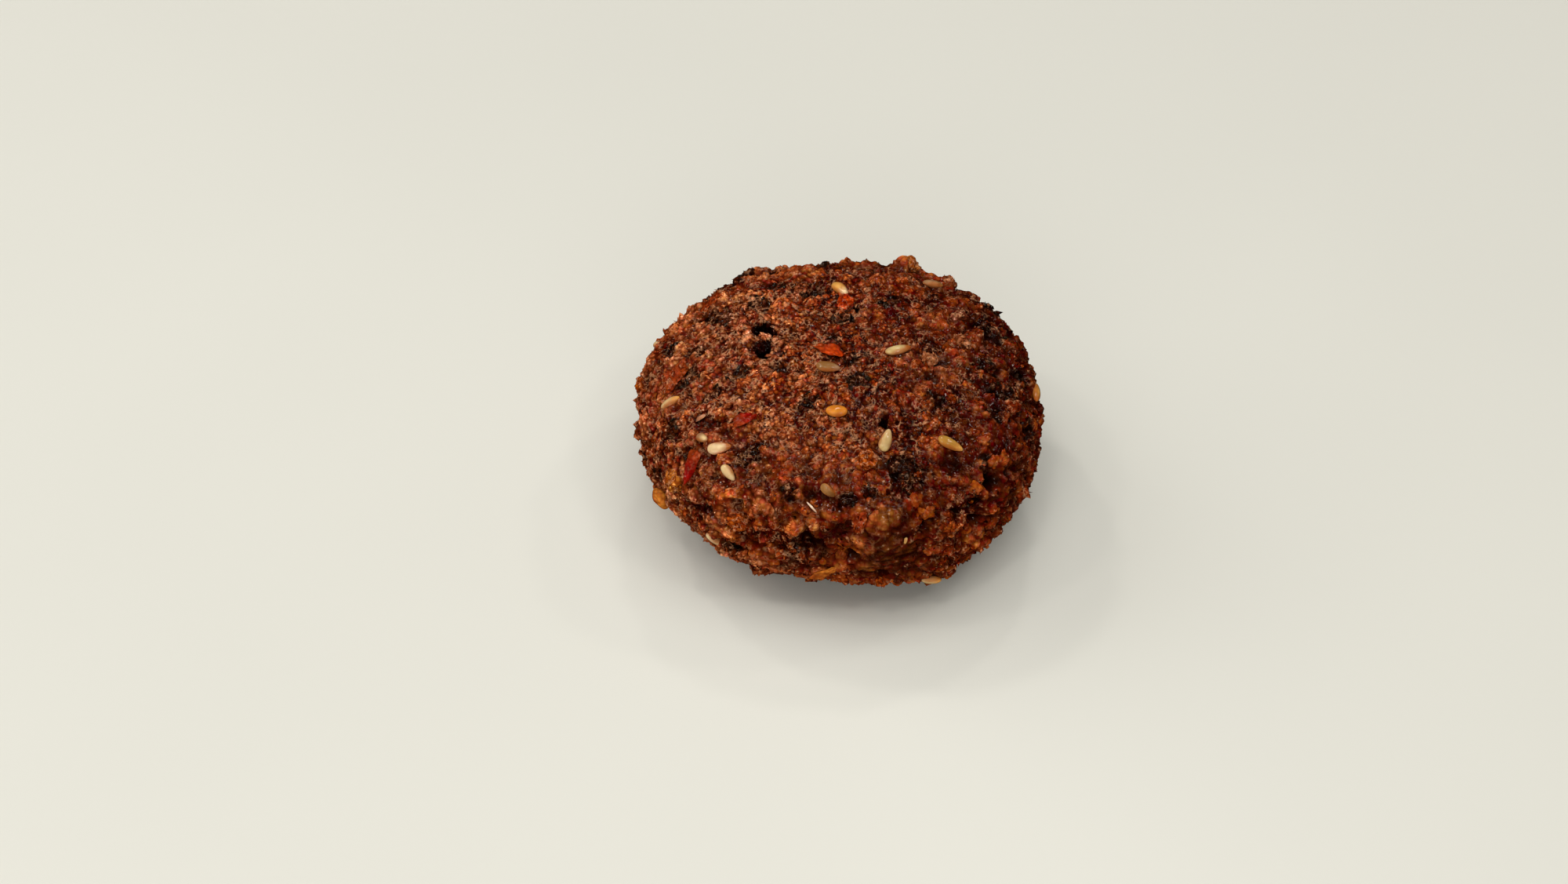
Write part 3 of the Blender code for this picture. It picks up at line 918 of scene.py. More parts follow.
def fine_crust(way, beds, patches):
    """Point of the dressed crust along a unit vector, and what lies there."""
    spot = way * oval_reach(way)
    crumb, body = crumb_form(spot, way)
    broad = broad_rise(spot, way)
    outward = oval_outward(spot)
    near = beds.apart(HEART + spot + outward * (broad + crumb))
    free = smooth_step(*BED_RIM, near)
    shares = patches.weights(spot, way)
    coarse = COARSE_SHARE + (1.0 - COARSE_SHARE) * (1.0 - smooth_step(*BED_CALM, near))
    coarse *= 1.0 - SMOOTH_CRUMB_LOSS * shares[SMOOTH]
    clod, clod_draw = cell_form(spot / CLOD_SIZE + drift_at(spot) + CLOD_SHIFT, CLOD_CREASE)
    grain, grain_draw = cell_form(spot / GRAIN_SIZE + GRAIN_SHIFT, GRAIN_CREASE)
    crack = crack_share(spot)
    pit = pit_share(spot, way)
    fine = fine_rise(spot, way, shares, clod, clod_draw, grain, grain_draw)
    fine -= CRACK_DEPTH * crack + PIT_EXTRA * pit
    rise = broad + crumb * coarse + fine * free - BED_DEPTH * (1.0 - free)
    point = HEART + spot + outward * rise
    if point.z < FOOT_PIT:
        point.z = FOOT_PIT * (1.0 - clod * grain)
    tone = tone_of(spot, way, shares, clod, clod_draw, body)
    # Painted shade in cracks and pits: dark red at their edges, nearly black in pit floors
    tone = tone.lerp(HOLLOW_SHADE, max(CRACK_SHADE * crack * free, smooth_step(*PIT_EDGE_SHADE_LEVELS, pit)))
    tone = tone.lerp(PIT_SHADE, smooth_step(*PIT_SHADE_LEVELS, pit))
    crease = free * (1.0 - smooth_step(*CREASE_BARE, clod))
    bare = max(pit, crack, crease, shares[SMOOTH], HOLLOW_BARE * shares[HOLLOW])
    wet = wet_share(spot, way, shares)
    return point, Ground(tone, shares[HERB], shares[AMBER_KIND], bare, wet)


def finish_piece(name, mesh, tones, wets, paint):
    """The piece of a mesh, with the colour and wetness of every corner and its paint."""
    layer = mesh.color_attributes.new("tone", "FLOAT_COLOR", "POINT")
    flat = []
    for tone in tones:
        flat.extend((tone[0], tone[1], tone[2], 1.0))
    layer.data.foreach_set("color", flat)
    layer = mesh.attributes.new("wet", "FLOAT", "POINT")
    layer.data.foreach_set("value", wets)
    mesh.materials.append(paint)
    mesh.shade_smooth()
    mesh.update()
    return add_piece(name, mesh)


def fine_cube():
    """Mesh of a cube cut into a fine grid."""
    cube = bmesh.new()
    bmesh.ops.create_cube(cube, size=2.0)
    cage = bpy.data.meshes.new("crust_cage")
    cube.to_mesh(cage)
    cube.free()
    draft = add_piece("crust_draft", cage)
    cut = draft.modifiers.new("grid", "SUBSURF")
    cut.subdivision_type = "SIMPLE"
    cut.levels = CRUST_LEVELS
    cut.render_levels = CRUST_LEVELS
    bpy.context.view_layer.update()
    seen = draft.evaluated_get(bpy.context.evaluated_depsgraph_get())
    mesh = bpy.data.meshes.new_from_object(seen)
    bpy.data.objects.remove(draft, do_unlink=True)
    return mesh


def build_crust(beds, patches, paint):
    """A fine cube rounded, with every corner moved to the dressed crust. Gives piece and sites."""
    mesh = fine_cube()
    grounds = []
    corners = []
    for corner in mesh.vertices:
        even = Vector([math.tan(side * math.pi / 4.0) for side in corner.co]).normalized()
        even.z *= CAGE_SQUASH
        point, ground = fine_crust(even.normalized(), beds, patches)
        corners.extend(point)
        grounds.append(ground)
    mesh.vertices.foreach_set("co", corners)
    # Painted shade: the crust between the grains is darkened, less where it is wet
    tones = [shaded(ground.tone, GAP_SHADE + (1.0 - GAP_SHADE) * ground.wet) for ground in grounds]
    mesh.name = "crust"
    mesh.materials.clear()
    crust = finish_piece("crust", mesh, tones, [ground.wet for ground in grounds], paint)
    sites = []
    for face in mesh.polygons:
        sites.append((face.center.copy(), face.normal.copy(), grounds[face.vertices[0]]))
    return crust, sites


# Small bodies gathered into one piece

class Heap:
    """A piece made of many small closed bodies, each with its own colour."""

    def __init__(self, name):
        self.name = name
        self.corners = []
        self.faces = []
        self.tones = []
        self.wets = []
        self.count = 0

    def add(self, corners, faces, tones, wet=0.0):
        start = len(self.corners)
        self.corners.extend([Vector((c.x, c.y, max(c.z, 0.0))) for c in corners])
        self.faces.extend([tuple(start + index for index in face) for face in faces])
        self.tones.extend(tones)
        self.wets.extend([wet] * len(tones))
        self.count += 1

    def finish(self, paint):
        mesh = bpy.data.meshes.new(self.name)
        mesh.from_pydata(self.corners, [], self.faces)
        return finish_piece(self.name, mesh, self.tones, self.wets, paint)


def corners_and_faces(shape):
    """Corners and faces of a bmesh body, which is freed."""
    corners = [corner.co.copy() for corner in shape.verts]
    faces = [tuple(corner.index for corner in face.verts) for face in shape.faces]
    shape.free()
    return corners, faces


def ball(fineness):
    """Corners and faces of an icosphere one unit across."""
    shape = bmesh.new()
    bmesh.ops.create_icosphere(shape, subdivisions=fineness, radius=0.5)
    return corners_and_faces(shape)


def drawn_ball(segments, rings):
    """Corners and faces of a sphere one unit across with its poles on the first axis."""
    corners = [Vector((0.5, 0.0, 0.0))]
    for ring in range(1, rings):
        reach = 0.5 * math.sin(math.pi * ring / rings)
        along = 0.5 * math.cos(math.pi * ring / rings)
        for step in range(segments):
            turn = math.tau * step / segments
            corners.append(Vector((along, -reach * math.sin(turn), reach * math.cos(turn))))
    corners.append(Vector((-0.5, 0.0, 0.0)))
    last = len(corners) - 1
    faces = []
    for step in range(segments):
        beside = (step + 1) % segments
        starts = range(1, last, segments)
        faces.append((0, starts[0] + step, starts[0] + beside))
        for near, far in zip(starts, starts[1:]):
            faces.append((near + step, far + step, far + beside, near + beside))
        faces.append((starts[-1] + step, last, starts[-1] + beside))
    return corners, faces


def chip():
    """Corners and faces of an eight-sided chip one unit across."""
    tips = ((1, 0, 0), (0, 1, 0), (-1, 0, 0), (0, -1, 0), (0, 0, 1), (0, 0, -1))
    faces = [(0, 1, 4), (1, 2, 4), (2, 3, 4), (3, 0, 4), (1, 0, 5), (2, 1, 5), (3, 2, 5), (0, 3, 5)]
    return [Vector(tip) * 0.5 for tip in tips], faces


def seed_point(corner, share, taper, shift):
    """Where a corner of the unit ball lies on a seed."""
    width = SEED_WIDTH * min(SEED_STOUT + (1.0 - SEED_STOUT) * share, 1.0)
    narrow = 1.0 - taper * (corner.x + 0.5)
    plump = 1.0 + 0.06 * noise.noise(corner * 2.2 + shift)
    height = corner.z * plump + SEED_STAND
    return Vector((
        corner.x * SEED_LENGTH * share, corner.y * width * narrow * plump, height * SEED_THICKNESS,
    ))


def seed_tone(corner, body, tail, shift):
    """Colour of a seed's corner: its body's or its tail's, streaked, with painted shade in amber
    along the rim and underside.
    """
    blend = smooth_step(0.0, 0.42, corner.x + 0.12 * noise.noise(corner * 4.0 + shift))
    grain = Vector((corner.x * 3.0, corner.y * 11.0, corner.z * 11.0))
    streak = 1.0 + 0.14 * noise.noise(grain + shift)
    # Painted shade along the rim and the underside
    edge = max(smooth_step(0.22, 0.46, abs(corner.y)), smooth_step(-0.22, 0.1, -corner.z))
    return body.lerp(tail, blend).lerp(AMBER_TAIL, edge * SEED_RIM_SHADE) * streak


def lay_seeds(seeds, paint):
    """Flattened teardrops with painted shade in amber along the rim, each with its own pair of
    colours.
    """
    heap = Heap("seeds")
    corners, faces = drawn_ball(28, 18)
    for order, (bearing, lift, turn, share, body, tail) in enumerate(seeds):
        seat = seat_on_crust(bearing, lift, turn, SEED_WIDTH)
        shift = Vector((order * 3.1, order * 1.7, 0.4))
        taper = OVAL_TAPER if body == ORANGE_OVAL else SEED_TAPER
        placed = [seat @ seed_point(corner, share, taper, shift) for corner in corners]
        heap.add(placed, faces, [seed_tone(corner, body, tail, shift) for corner in corners])
    return heap.finish(paint)


def flake_point(corner, length, width, shift):
    """Where a corner of the unit ball lies on a curled, ragged flake."""
    narrow = 1.0 - FLAKE_TAPER * (corner.x + 0.5)
    ragged = 1.0 + 0.45 * noise.noise(corner * 3.0 + shift)
    ragged += 0.3 * noise.noise(corner * 7.0 + shift)
    curl = 0.2 * (corner.y * 2.0) ** 2 + 0.4 * noise.noise(flat_of(corner) * 3.4 + shift)
    return Vector((
        corner.x * length * MM * ragged,
        corner.y * width * MM * narrow * ragged,
        (corner.z * 0.55 + FLAKE_STAND + curl - 0.05) * FLAKE_THICKNESS,
    ))


def flake_tone(corner, colour, shift):
    """Colour of a flake's corner: redder in the middle and burnt at one end."""
    edge = smooth_step(0.3, 0.5, flat_of(corner).length)
    patchy = 1.0 + 0.35 * noise.noise(corner * 4.0 + shift)
    end = FLAKE_END_SHARE * smooth_step(0.1, -0.4, corner.x)
    return colour.lerp(DARK_RED, 0.25 * (1.0 - edge)).lerp(BURNT_AMBER, end) * patchy


def lay_flakes(flakes, paint):
    """Scraps of pepper skin. Gives the piece and sites on the crusted ones."""
    heap = Heap("pepper_flakes")
    sites = []
    corners, faces = drawn_ball(24, 14)
    for order, (bearing, lift, turn, length, width, colour) in enumerate(flakes):
        seat = seat_on_crust(bearing, lift, turn, width * MM)
        shift = Vector((order * 2.3, 4.0, order * 1.1))
        placed = [seat @ flake_point(corner, length, width, shift) for corner in corners]
        heap.add(placed, faces, [flake_tone(corner, colour, shift) for corner in corners])
        if colour == BURNT_AMBER:
            ground = Ground(colour, 0.0, 0.3, 0.0, 0.2)
            sites += lump_sites(placed, faces, seat.col[2].to_3d(), ground)
    return heap.finish(paint), sites


def lay_husks(paint):
    """Slivers of pale husk that lie on the crust, the palest one partly a painted highlight."""
    heap = Heap("husks")
    corners, faces = drawn_ball(10, 8)
    for bearing, lift, turn, length, width, colour in SHOWN_HUSKS:
        seat = seat_on_crust(bearing, lift, turn, width * MM)
        placed = []
        for corner in corners:
            bend = 0.4 * HUSK_THICKNESS * math.cos(corner.x * math.pi)
            local = Vector((corner.x * length, corner.y * width, 0.0)) * MM
            local.z = corner.z * HUSK_THICKNESS + bend + HUSK_THICKNESS
            placed.append(seat @ local)
        heap.add(placed, faces, [colour] * len(corners), HUSK_WET)
    return heap.finish(paint)


def lump(corners, size, roughness, shift):
    """Corners of a ball drawn to a size and pushed in and out."""
    placed = []
    for corner in corners:
        push = 1.0 + roughness * noise.noise(corner * 3.2 + shift)
        push += 0.4 * roughness * noise.noise(corner * 7.5 + shift)
        placed.append(Vector((corner.x * size[0], corner.y * size[1], corner.z * size[2])) * push)
    return placed


def lump_sites(corners, faces, outward, ground):
    """Middle and outward direction of each face on the outer side of a lump."""
    found = []
    for face in faces:
        first, second, third = [corners[index] for index in face[:3]]
        normal = (second - first).cross(third - first).normalized()
        if normal.dot(outward) > 0.1:
            found.append(((first + second + third) / 3.0, normal, ground))
    return found


def crumb_size(width):
    return width * CRUMB_STRETCH * MM, width * MM, width * CRUMB_FLATNESS * MM


def lay_crumbs(crumbs, paint):
    """Named crumbs pressed into the crust. Gives the piece and sites for grains on them."""
    heap = Heap("amber_crumbs")
    sites = []
    corners, faces = ball(3)
    for order, (bearing, lift, width, stand, colour) in enumerate(crumbs):
        seat = crumb_seat(bearing, lift, width)
        size = crumb_size(width)
        shift = Vector((order * 1.9, 2.0, order * 0.7))
        raised = Matrix.Translation((0.0, 0.0, stand * size[2]))
        placed = [seat @ raised @ corner for corner in lump(corners, size, 0.5, shift)]
        patchy = [colour * (1.0 + 0.3 * noise.noise(corner * 3.0 + shift)) for corner in corners]
        heap.add(placed, faces, patchy)
        ground = Ground(colour, 0.0, 0.6, 0.0, 0.4)
        sites += lump_sites(placed, faces, seat.col[2].to_3d(), ground)
    return heap.finish(paint), sites


def lay_skin(paint):
    """Amber skin that hangs clear at the left, thick, with painted light glowing golden through its
    rim.
    """
    heap = Heap("hanging_skin")
    corners, faces = drawn_ball(32, 20)
    bearing, lift, width, stand = HANGING_SKIN
    seat = crumb_seat(bearing, lift, width)
    long, wide, tall = crumb_size(width)
    placed = []
    tones = []
    for corner in corners:
        push = 1.0 + 0.2 * noise.noise(corner * 2.6)
        local = Vector((corner.x * long, corner.y * wide, (corner.z + stand) * tall)) * push
        placed.append(seat @ local)
        # Painted light: the thin rim glows golden as if lit through
        rim_glow = smooth_step(0.22, 0.42, flat_of(corner).length)
        tones.append(AMBER.lerp(GOLDEN_SKIN, rim_glow))
    heap.add(placed, faces, tones)
    return heap.finish(paint)


class Spacing:
    """Keeps points a gap apart by sorting them into cells of that size."""

    def __init__(self, gap):
        self.gap = gap
        self.cells = {}

    def take(self, point):
        """True, and the point is kept, where no kept point is nearer than the gap."""
        home = tuple(int(math.floor(side / self.gap)) for side in point)
        for step in itertools.product((-1, 0, 1), repeat=3):
            near = tuple(side + aside for side, aside in zip(home, step))
            if any((other - point).length < self.gap for other in self.cells.get(near, ())):
                return False
        self.cells.setdefault(home, []).append(point)
        return True


def shuffled(sites, draw):
    """The sites in a random order."""
    order = list(range(len(sites)))
    draw.shuffle(order)
    return (sites[index] for index in order)


def clump_tone(ground, pick, draw):
    """Colour of a clump: the crust's, and on some of them amber or darker."""
    tone = shaded(ground.tone, draw.uniform(*CLUMP_BRIGHTNESS))
    if pick < CLUMP_AMBER_SHARE:
        return tone.lerp(AMBER, CLUMP_AMBER_TINT)
    if pick > 1.0 - CLUMP_DARK_SHARE:
        return shaded(tone, CLUMP_DARK)
    return tone


def lay_clumps(sites, beds, paint):
    """Uneven lumps bedded in the crust. Gives the piece and the sites on its lumps."""
    heap = Heap("crust_clumps")
    small, large = ball(2), ball(3)
    draw = random.Random(CLUMP_DRAW)
    spacing = Spacing(CLUMP_GAP)
    more_sites = []
    for middle, outward, ground in shuffled(sites, draw):
        if heap.count >= CLUMP_COUNT:
            break
        way = (middle - HEART).normalized()
        if ground.bare > CLUMP_BARE or beds.apart(middle) < CLUMP_CLEAR:
            continue
        if not spacing.take(middle) or near_pit(way):
            continue
        on_wall = draw.random() < wall_share(way)
        low, high = CLUMP_SIZES_WALL if on_wall else CLUMP_SIZES_CROWN
        width = low + (high - low) * draw.random() ** CLUMP_SMALLNESS
        sunk = middle - outward * (CLUMP_SINK + CLUMP_SINK_SIDE * way.x * way.x) * width
        seat = seat_at(sunk, outward, draw.uniform(0.0, math.tau))
        tilt = Matrix.Rotation(draw.uniform(-CLUMP_TILT, CLUMP_TILT), 4, "X")
        size = (width * draw.uniform(*CLUMP_STRETCH), width, width * draw.uniform(*CLUMP_FLATNESS))
        seat.translation.z = max(seat.translation.z, 0.5 * size[2])
        corners, faces = large if width > CLUMP_LARGE else small
        shift = Vector((draw.uniform(0.0, SHIFT_SPAN), draw.uniform(0.0, SHIFT_SPAN), 3.0))
        placed = [seat @ tilt @ corner for corner in lump(corners, size, CLUMP_ROUGHNESS, shift)]
        pick = draw.random()
        tone = clump_tone(ground, pick, draw)
        tones = [shaded(tone, 1.0 + 0.3 * noise.noise(corner * 3.0 + shift)) for corner in corners]
        heap.add(placed, faces, tones, ground.wet)
        if draw.random() > ground.wet and pick >= 0.6 * CLUMP_AMBER_SHARE:
            more_sites += lump_sites(placed, faces, outward, ground._replace(tone=tone))
    return heap.finish(paint), more_sites


def lay_flecks(sites, beds, paint):
    """Thin curled scraps of herb leaf where the crust is dark with them."""
    heap = Heap("herb_flecks")
    corners, faces = ball(2)
    draw = random.Random(FLECK_DRAW)
    spacing = Spacing(FLECK_GAP)
    for middle, outward, ground in shuffled(sites, draw):
        if heap.count >= FLECK_CAP:
            break
        if ground.herb < FLECK_HERB or beds.apart(middle) < FLECK_CLEAR or middle.z < FLECK_FLOOR:
            continue
        if not spacing.take(middle):
            continue
        length = draw.uniform(*FLECK_LENGTHS)
        width = draw.uniform(*FLECK_WIDTHS)
        seat = seat_at(middle + outward * 0.12 * MM, outward, draw.uniform(0.0, math.tau))
        tilt = Matrix.Rotation(draw.uniform(-FLECK_TILT, FLECK_TILT), 4, "X")
        shift = Vector((draw.uniform(0.0, SHIFT_SPAN), 1.0, draw.uniform(0.0, SHIFT_SPAN)))
        colour = FLECK_COLOURS[draw.randrange(len(FLECK_COLOURS))]
        placed = []
        for corner in corners:
            ragged = 1.0 + 0.6 * noise.noise(corner * 3.5 + shift)
            curl = 0.12 * MM * noise.noise(flat_of(corner) * 4.0 + shift)
            tall = corner.z * FLECK_THICKNESS + curl
            local = Vector((corner.x * length * ragged, corner.y * width * ragged, tall))
            placed.append(seat @ tilt @ local)
        tones = [colour * (1.0 + 0.5 * noise.noise(corner * 5.0 + shift)) for corner in corners]
        heap.add(placed, faces, tones)
    return heap.finish(paint)


def grain_kind(tone):
    """Which kind of grain a colour belongs to: brown, red, orange or dark."""
    if 0.2126 * tone[0] + 0.7152 * tone[1] + 0.0722 * tone[2] < DARK_BELOW:
        return 3
    if tone[0] > ORANGE_ABOVE:
        return 2
    return 1 if tone[0] > RED_OVER_GREEN * tone[1] else 0


def jagged_forms(corners, draw):
    """Several versions of a body with every corner pushed in or out at random."""
    return [[corner * draw.uniform(*GRAIN_JAG) for corner in corners] for _ in range(GRAIN_FORMS)]


def spread_grains(sites, spacing, draw):
    """Sites that carry a grain, in a random order and at even gaps."""
    for middle, outward, ground in shuffled(sites, draw):
        bare = max(BARE_AMBER_SHARE * ground.amber, WET_BARE_SHARE * ground.wet)
        if ground.bare > GRAIN_BARE or draw.random() < bare:
            continue
        if outward.z < GRAIN_UNDER or not spacing.take(middle):
            continue
        yield middle, outward, ground.tone


def place_grain(form, middle, outward, sizes, stretches, draw):
    """Corners of one grain, drawn long, turned at random and sunk into the crust."""
    size = sizes[0] + (sizes[1] - sizes[0]) * draw.random() ** 2
    seat = seat_at(middle, outward, draw.uniform(0.0, math.tau))
    seat.translation.z = max(seat.translation.z, GRAIN_FLOOR * size)
    stretch = draw.uniform(*stretches)
    across = size / math.sqrt(stretch)
    tall = size * draw.uniform(*GRAIN_FLATNESS)
    lean = Matrix.Rotation(draw.uniform(-GRAIN_LEAN, GRAIN_LEAN), 4, "Y")
    sink = GRAIN_SINK * size
    drawn = [Vector((c.x * size * stretch, c.y * across, c.z * tall - sink)) for c in form]
    return [seat @ lean @ corner for corner in drawn]


def lay_grains(sites, paints):
    """Coarse grains in four kinds of colour, then fine ones between them."""
    draw = random.Random(GRAIN_DRAW)
    corners, faces = ball(1)
    forms = jagged_forms(corners, draw)
    between = Spacing(FINE_GAP)
    heaps = [Heap(name) for name in ("brown_grains", "red_grains", "orange_grains", "dark_grains")]
    for middle, outward, tone in spread_grains(sites, Spacing(COARSE_GAP), draw):
        kind = grain_kind(tone)
        if heaps[kind].count >= COARSE_CAP:
            kind = min(range(4), key=lambda k: heaps[k].count)
            if heaps[kind].count >= COARSE_CAP:
                break
        between.take(middle)
        form = forms[draw.randrange(GRAIN_FORMS)]
        placed = place_grain(form, middle, outward, COARSE_SIZES, GRAIN_STRETCH, draw)
        lit = shaded(tone, 2.0 ** draw.uniform(*GRAIN_BRIGHTNESS))
        heaps[kind].add(placed, faces, [lit] * len(form))
    corners, faces = chip()
    forms = jagged_forms(corners, draw)
    fine = Heap("fine_grains")
    for middle, outward, tone in spread_grains(sites, between, draw):
        if fine.count >= FINE_CAP:
            break
        form = forms[draw.randrange(GRAIN_FORMS)]
        placed = place_grain(form, middle, outward, FINE_SIZES, FIBRE_STRETCH, draw)
        level = draw.uniform(*GRAIN_BRIGHTNESS)
        # Painted highlight: some fine grains are made pale
        if draw.random() < HIGHLIGHT_FIBRE_SHARE:
            level += HIGHLIGHT_FIBRE_LIFT
        fine.add(placed, faces, [shaded(tone, 2.0 ** level)] * len(form))
    return [heap.finish(paint) for heap, paint in zip(heaps + [fine], paints)]


# Materials

def fill(paint, socket, value):
    """Links a varying value to a socket, or sets a plain one on it."""
    if isinstance(value, bpy.types.NodeSocket):
        paint.node_tree.links.new(value, socket)
    else:
        socket.default_value = value


def node(paint, kind, sockets, **settings):
    """A shader node with its settings and its inputs."""
    made = paint.node_tree.nodes.new("ShaderNode" + kind)
    for name, value in settings.items():
        setattr(made, name, value)
    for socket, value in sockets.items():
        fill(paint, made.inputs[socket], value)
    return made


def new_paint(name):
    """A material of that name."""
    paint = bpy.data.materials.new(name)
    paint.use_nodes = True
    return paint


def own_place(paint):
    """The piece's own coordinates."""
    return node(paint, "TexCoord", {}).outputs["Object"]


def own_value(paint, name):
    """Outputs of an attribute that the piece carries."""
    return node(paint, "Attribute", {}, attribute_name=name).outputs


def noise_field(paint, size, detail):
    """Noise whose features are about one size across."""
    sockets = {"Vector": own_place(paint), "Scale": 1.0 / size, "Detail": detail, "Roughness": 0.6}
    return node(paint, "TexNoise", sockets).outputs["Fac"]


def ranged(paint, source, low, high, source_low=0.0, source_high=1.0):
    """A varying value brought from one range to another."""
    sockets = {"From Min": source_low, "From Max": source_high, "To Min": low, "To Max": high}
    return node(paint, "MapRange", {"Value": source, **sockets}).outputs["Result"]


def worked(paint, operation, *values):
    """Result of arithmetic with varying values."""
    return node(paint, "Math", dict(enumerate(values)), operation=operation).outputs["Value"]


def vector_worked(paint, operation, *values, **scale):
    """Result of arithmetic with varying vectors."""
    sockets = {**dict(enumerate(values)), **scale}
    return node(paint, "VectorMath", sockets, operation=operation).outputs["Vector"]


def product(paint, *values):
    """Product of varying values."""
    total = values[0]
    for value in values[1:]:
        total = worked(paint, "MULTIPLY", total, value)
    return total


def cells_of(paint, size):
    """Cells about one size across: distance from the middle of each, and a colour for each."""
    cells = node(paint, "TexVoronoi", {"Vector": own_place(paint), "Scale": 1.0 / size})
    return cells.outputs["Distance"], cells.outputs["Color"]


def channels_of(paint, colour):
    """Red, green and blue of a colour."""
    return node(paint, "SeparateColor", {"Color": colour}).outputs


def eased(paint, source, wet, dry_end, wet_end):
    """A varying value that eases towards another range where the surface is wet."""
    dry_value = ranged(paint, source, *dry_end)
    wet_value = ranged(paint, source, *wet_end)
    return node(paint, "Mix", {"Factor": wet, "A": dry_value, "B": wet_value}).outputs["Result"]


def rim_lines(paint, size, width):
    """One on thin winding lines, where the edges of crumbs lie, and nought beside them."""
    off = worked(paint, "SUBTRACT", noise_field(paint, size, 1.0), 0.5)
    line = ranged(paint, worked(paint, "ABSOLUTE", off), 1.0, 0.0, 0.0, width)
    broken = ranged(paint, noise_field(paint, size * RIM_BREAK_SIZE, 1.0), 0.0, 1.0, *RIM_BREAK)
    return product(paint, line, broken)


def shaded_colour(paint, colour, value):
    """A colour times a value, redder where it is dark and paler where it is bright."""
    shares = {"Red": value}
    for channel, fall in (("Green", GREEN_FALL), ("Blue", BLUE_FALL)):
        shares[channel] = worked(paint, "POWER", value, fall)
    share = node(paint, "CombineColor", shares).outputs["Color"]
    return vector_worked(paint, "MULTIPLY", colour, share)


def highlighted(paint, colour, pale, share):
    """A colour blended by a varying share into a pale one, as a painted highlight."""
    blend = node(paint, "Mix", {"Factor": share}, data_type="RGBA")
    first, second = [slot for slot in blend.inputs if slot.type == "RGBA"]
    fill(paint, first, colour)
    fill(paint, second, (*pale, 1.0))
    return [slot for slot in blend.outputs if slot.type == "RGBA"][0]


def glinting(paint, normal, size, tilt):
    """A normal that tips a random way in each small cell, so that single facets catch a lamp."""
    _, draws = cells_of(paint, size)
    tip = vector_worked(paint, "SUBTRACT", draws, (0.5, 0.5, 0.5))
    tipped = vector_worked(paint, "ADD", normal, vector_worked(paint, "SCALE", tip, Scale=tilt))
    return vector_worked(paint, "NORMALIZE", tipped)


def relief(paint, height, strength, reach, **more):
    """Normal of a bump."""
    sockets = {"Height": height, "Strength": strength, "Distance": reach, **more}
    return node(paint, "Bump", sockets).outputs["Normal"]


def grain_colour(paint, look, wet, cells, rims):
    """The piece's own tone with painted shade in the gaps between cells, uneven grains, and painted
    highlights as pale rims and pale dots.
    """
    apart, colours = cells
    draws = channels_of(paint, colours)
    # Painted shade: each cell darkens from its middle out to its edges, less where it is wet
    dome = ranged(paint, apart, 1.0, 0.0, *DOME_REACH)
    gap = eased(paint, dome, wet, look["gap_shade_value"], look["wet_gap_shade_value"])
    each = eased(paint, draws["Red"], wet, look["cell_value"], look["wet_cell_value"])
    hues = ranged(paint, draws["Green"], *look["hue"])
    tone = {"Color": own_value(paint, "tone")["Color"], "Hue": hues}
    tone = node(paint, "HueSaturation", tone).outputs["Color"]
    # Painted highlights show only where the tone is bright enough
    highlight_where_bright = ranged(paint, channels_of(paint, tone)["Red"], 0.0, 1.0, *HIGHLIGHT_TONE_RANGE)
    base = shaded_colour(paint, tone, product(paint, gap, each))
    # Painted highlights along the winding crumb edges, fewer where wet
    rim_highlight_share = ranged(paint, wet, look["rim_highlight_share"], WET_RIMS * look["rim_highlight_share"])
    base = highlighted(paint, base, RIM_HIGHLIGHT, product(paint, rims, rim_highlight_share, highlight_where_bright))
    # Painted glints: pale dots in the middles of some cells, fewer where wet
    middles = ranged(paint, apart, 1.0, 0.0, *DOT_REACH)
    dots = product(paint, middles, ranged(paint, draws["Red"], 0.0, 1.0, *DOT_DRAW))
    dot_highlight_share = ranged(paint, wet, look["dot_highlight_share"], WET_DOTS * look["dot_highlight_share"])
    return highlighted(paint, base, DOT_HIGHLIGHT, product(paint, dots, dot_highlight_share, highlight_where_bright))


def grain_relief(paint, look, wet, apart, rims):
    """Normal of domed grains, raised rims, a fine skin and tipped facets."""
    doming = ranged(paint, wet, look["cell_bump"], WET_DOMES * look["cell_bump"])
    reach = look["cell_size"] * DOME_HEIGHT
    sockets = {"Height": apart, "Strength": doming, "Distance": reach}
    domes = node(paint, "Bump", sockets, invert=True).outputs["Normal"]
    ridges = relief(paint, rims, look["rim_bump"], look["rim_size"] * RIDGE_HEIGHT, Normal=domes)
    skin = noise_field(paint, look["bump_size"], 3.0)
    fine = relief(paint, skin, look["bump"], look["bump_height"], Normal=ridges)
    tilt = ranged(paint, wet, look["facet_tilt"], look["wet_facet_tilt"])
    return glinting(paint, fine, look["facet_size"], tilt)


def toned_paint(name, look, oily=False):
    """Principled paint of the piece's own tone. Only an oily piece has wet places in its shine."""
    paint = new_paint(name)
    wet = own_value(paint, "wet")["Fac"]
    cells = cells_of(paint, look["cell_size"])
    rims = rim_lines(paint, look["rim_size"], look["rim_width"])
    gloss = ranged(paint, noise_field(paint, look["gloss_size"], 3.0), 0.0, 1.0, 0.3, 0.7)
    shine = ranged(paint, wet, look["shine"], look["wet_shine"]) if oily else look["shine"]
    sockets = {
        "Base Color": grain_colour(paint, look, wet, cells, rims),
        "Roughness": eased(paint, gloss, wet, look["roughness"], look["wet_roughness"]),
        "Normal": grain_relief(paint, look, wet, cells[0], rims),
        "Specular IOR Level": shine,
        "Coat Weight": look["coat"],
        "Coat Roughness": COAT_ROUGHNESS,
        "Subsurface Weight": look["depth"],
        "Subsurface Radius": look["depth_radius"],
        "Subsurface Scale": look["depth_scale"],
    }
    shader = paint.node_tree.nodes["Principled BSDF"]
    for socket, value in sockets.items():
        fill(paint, shader.inputs[socket], value)
    return paint


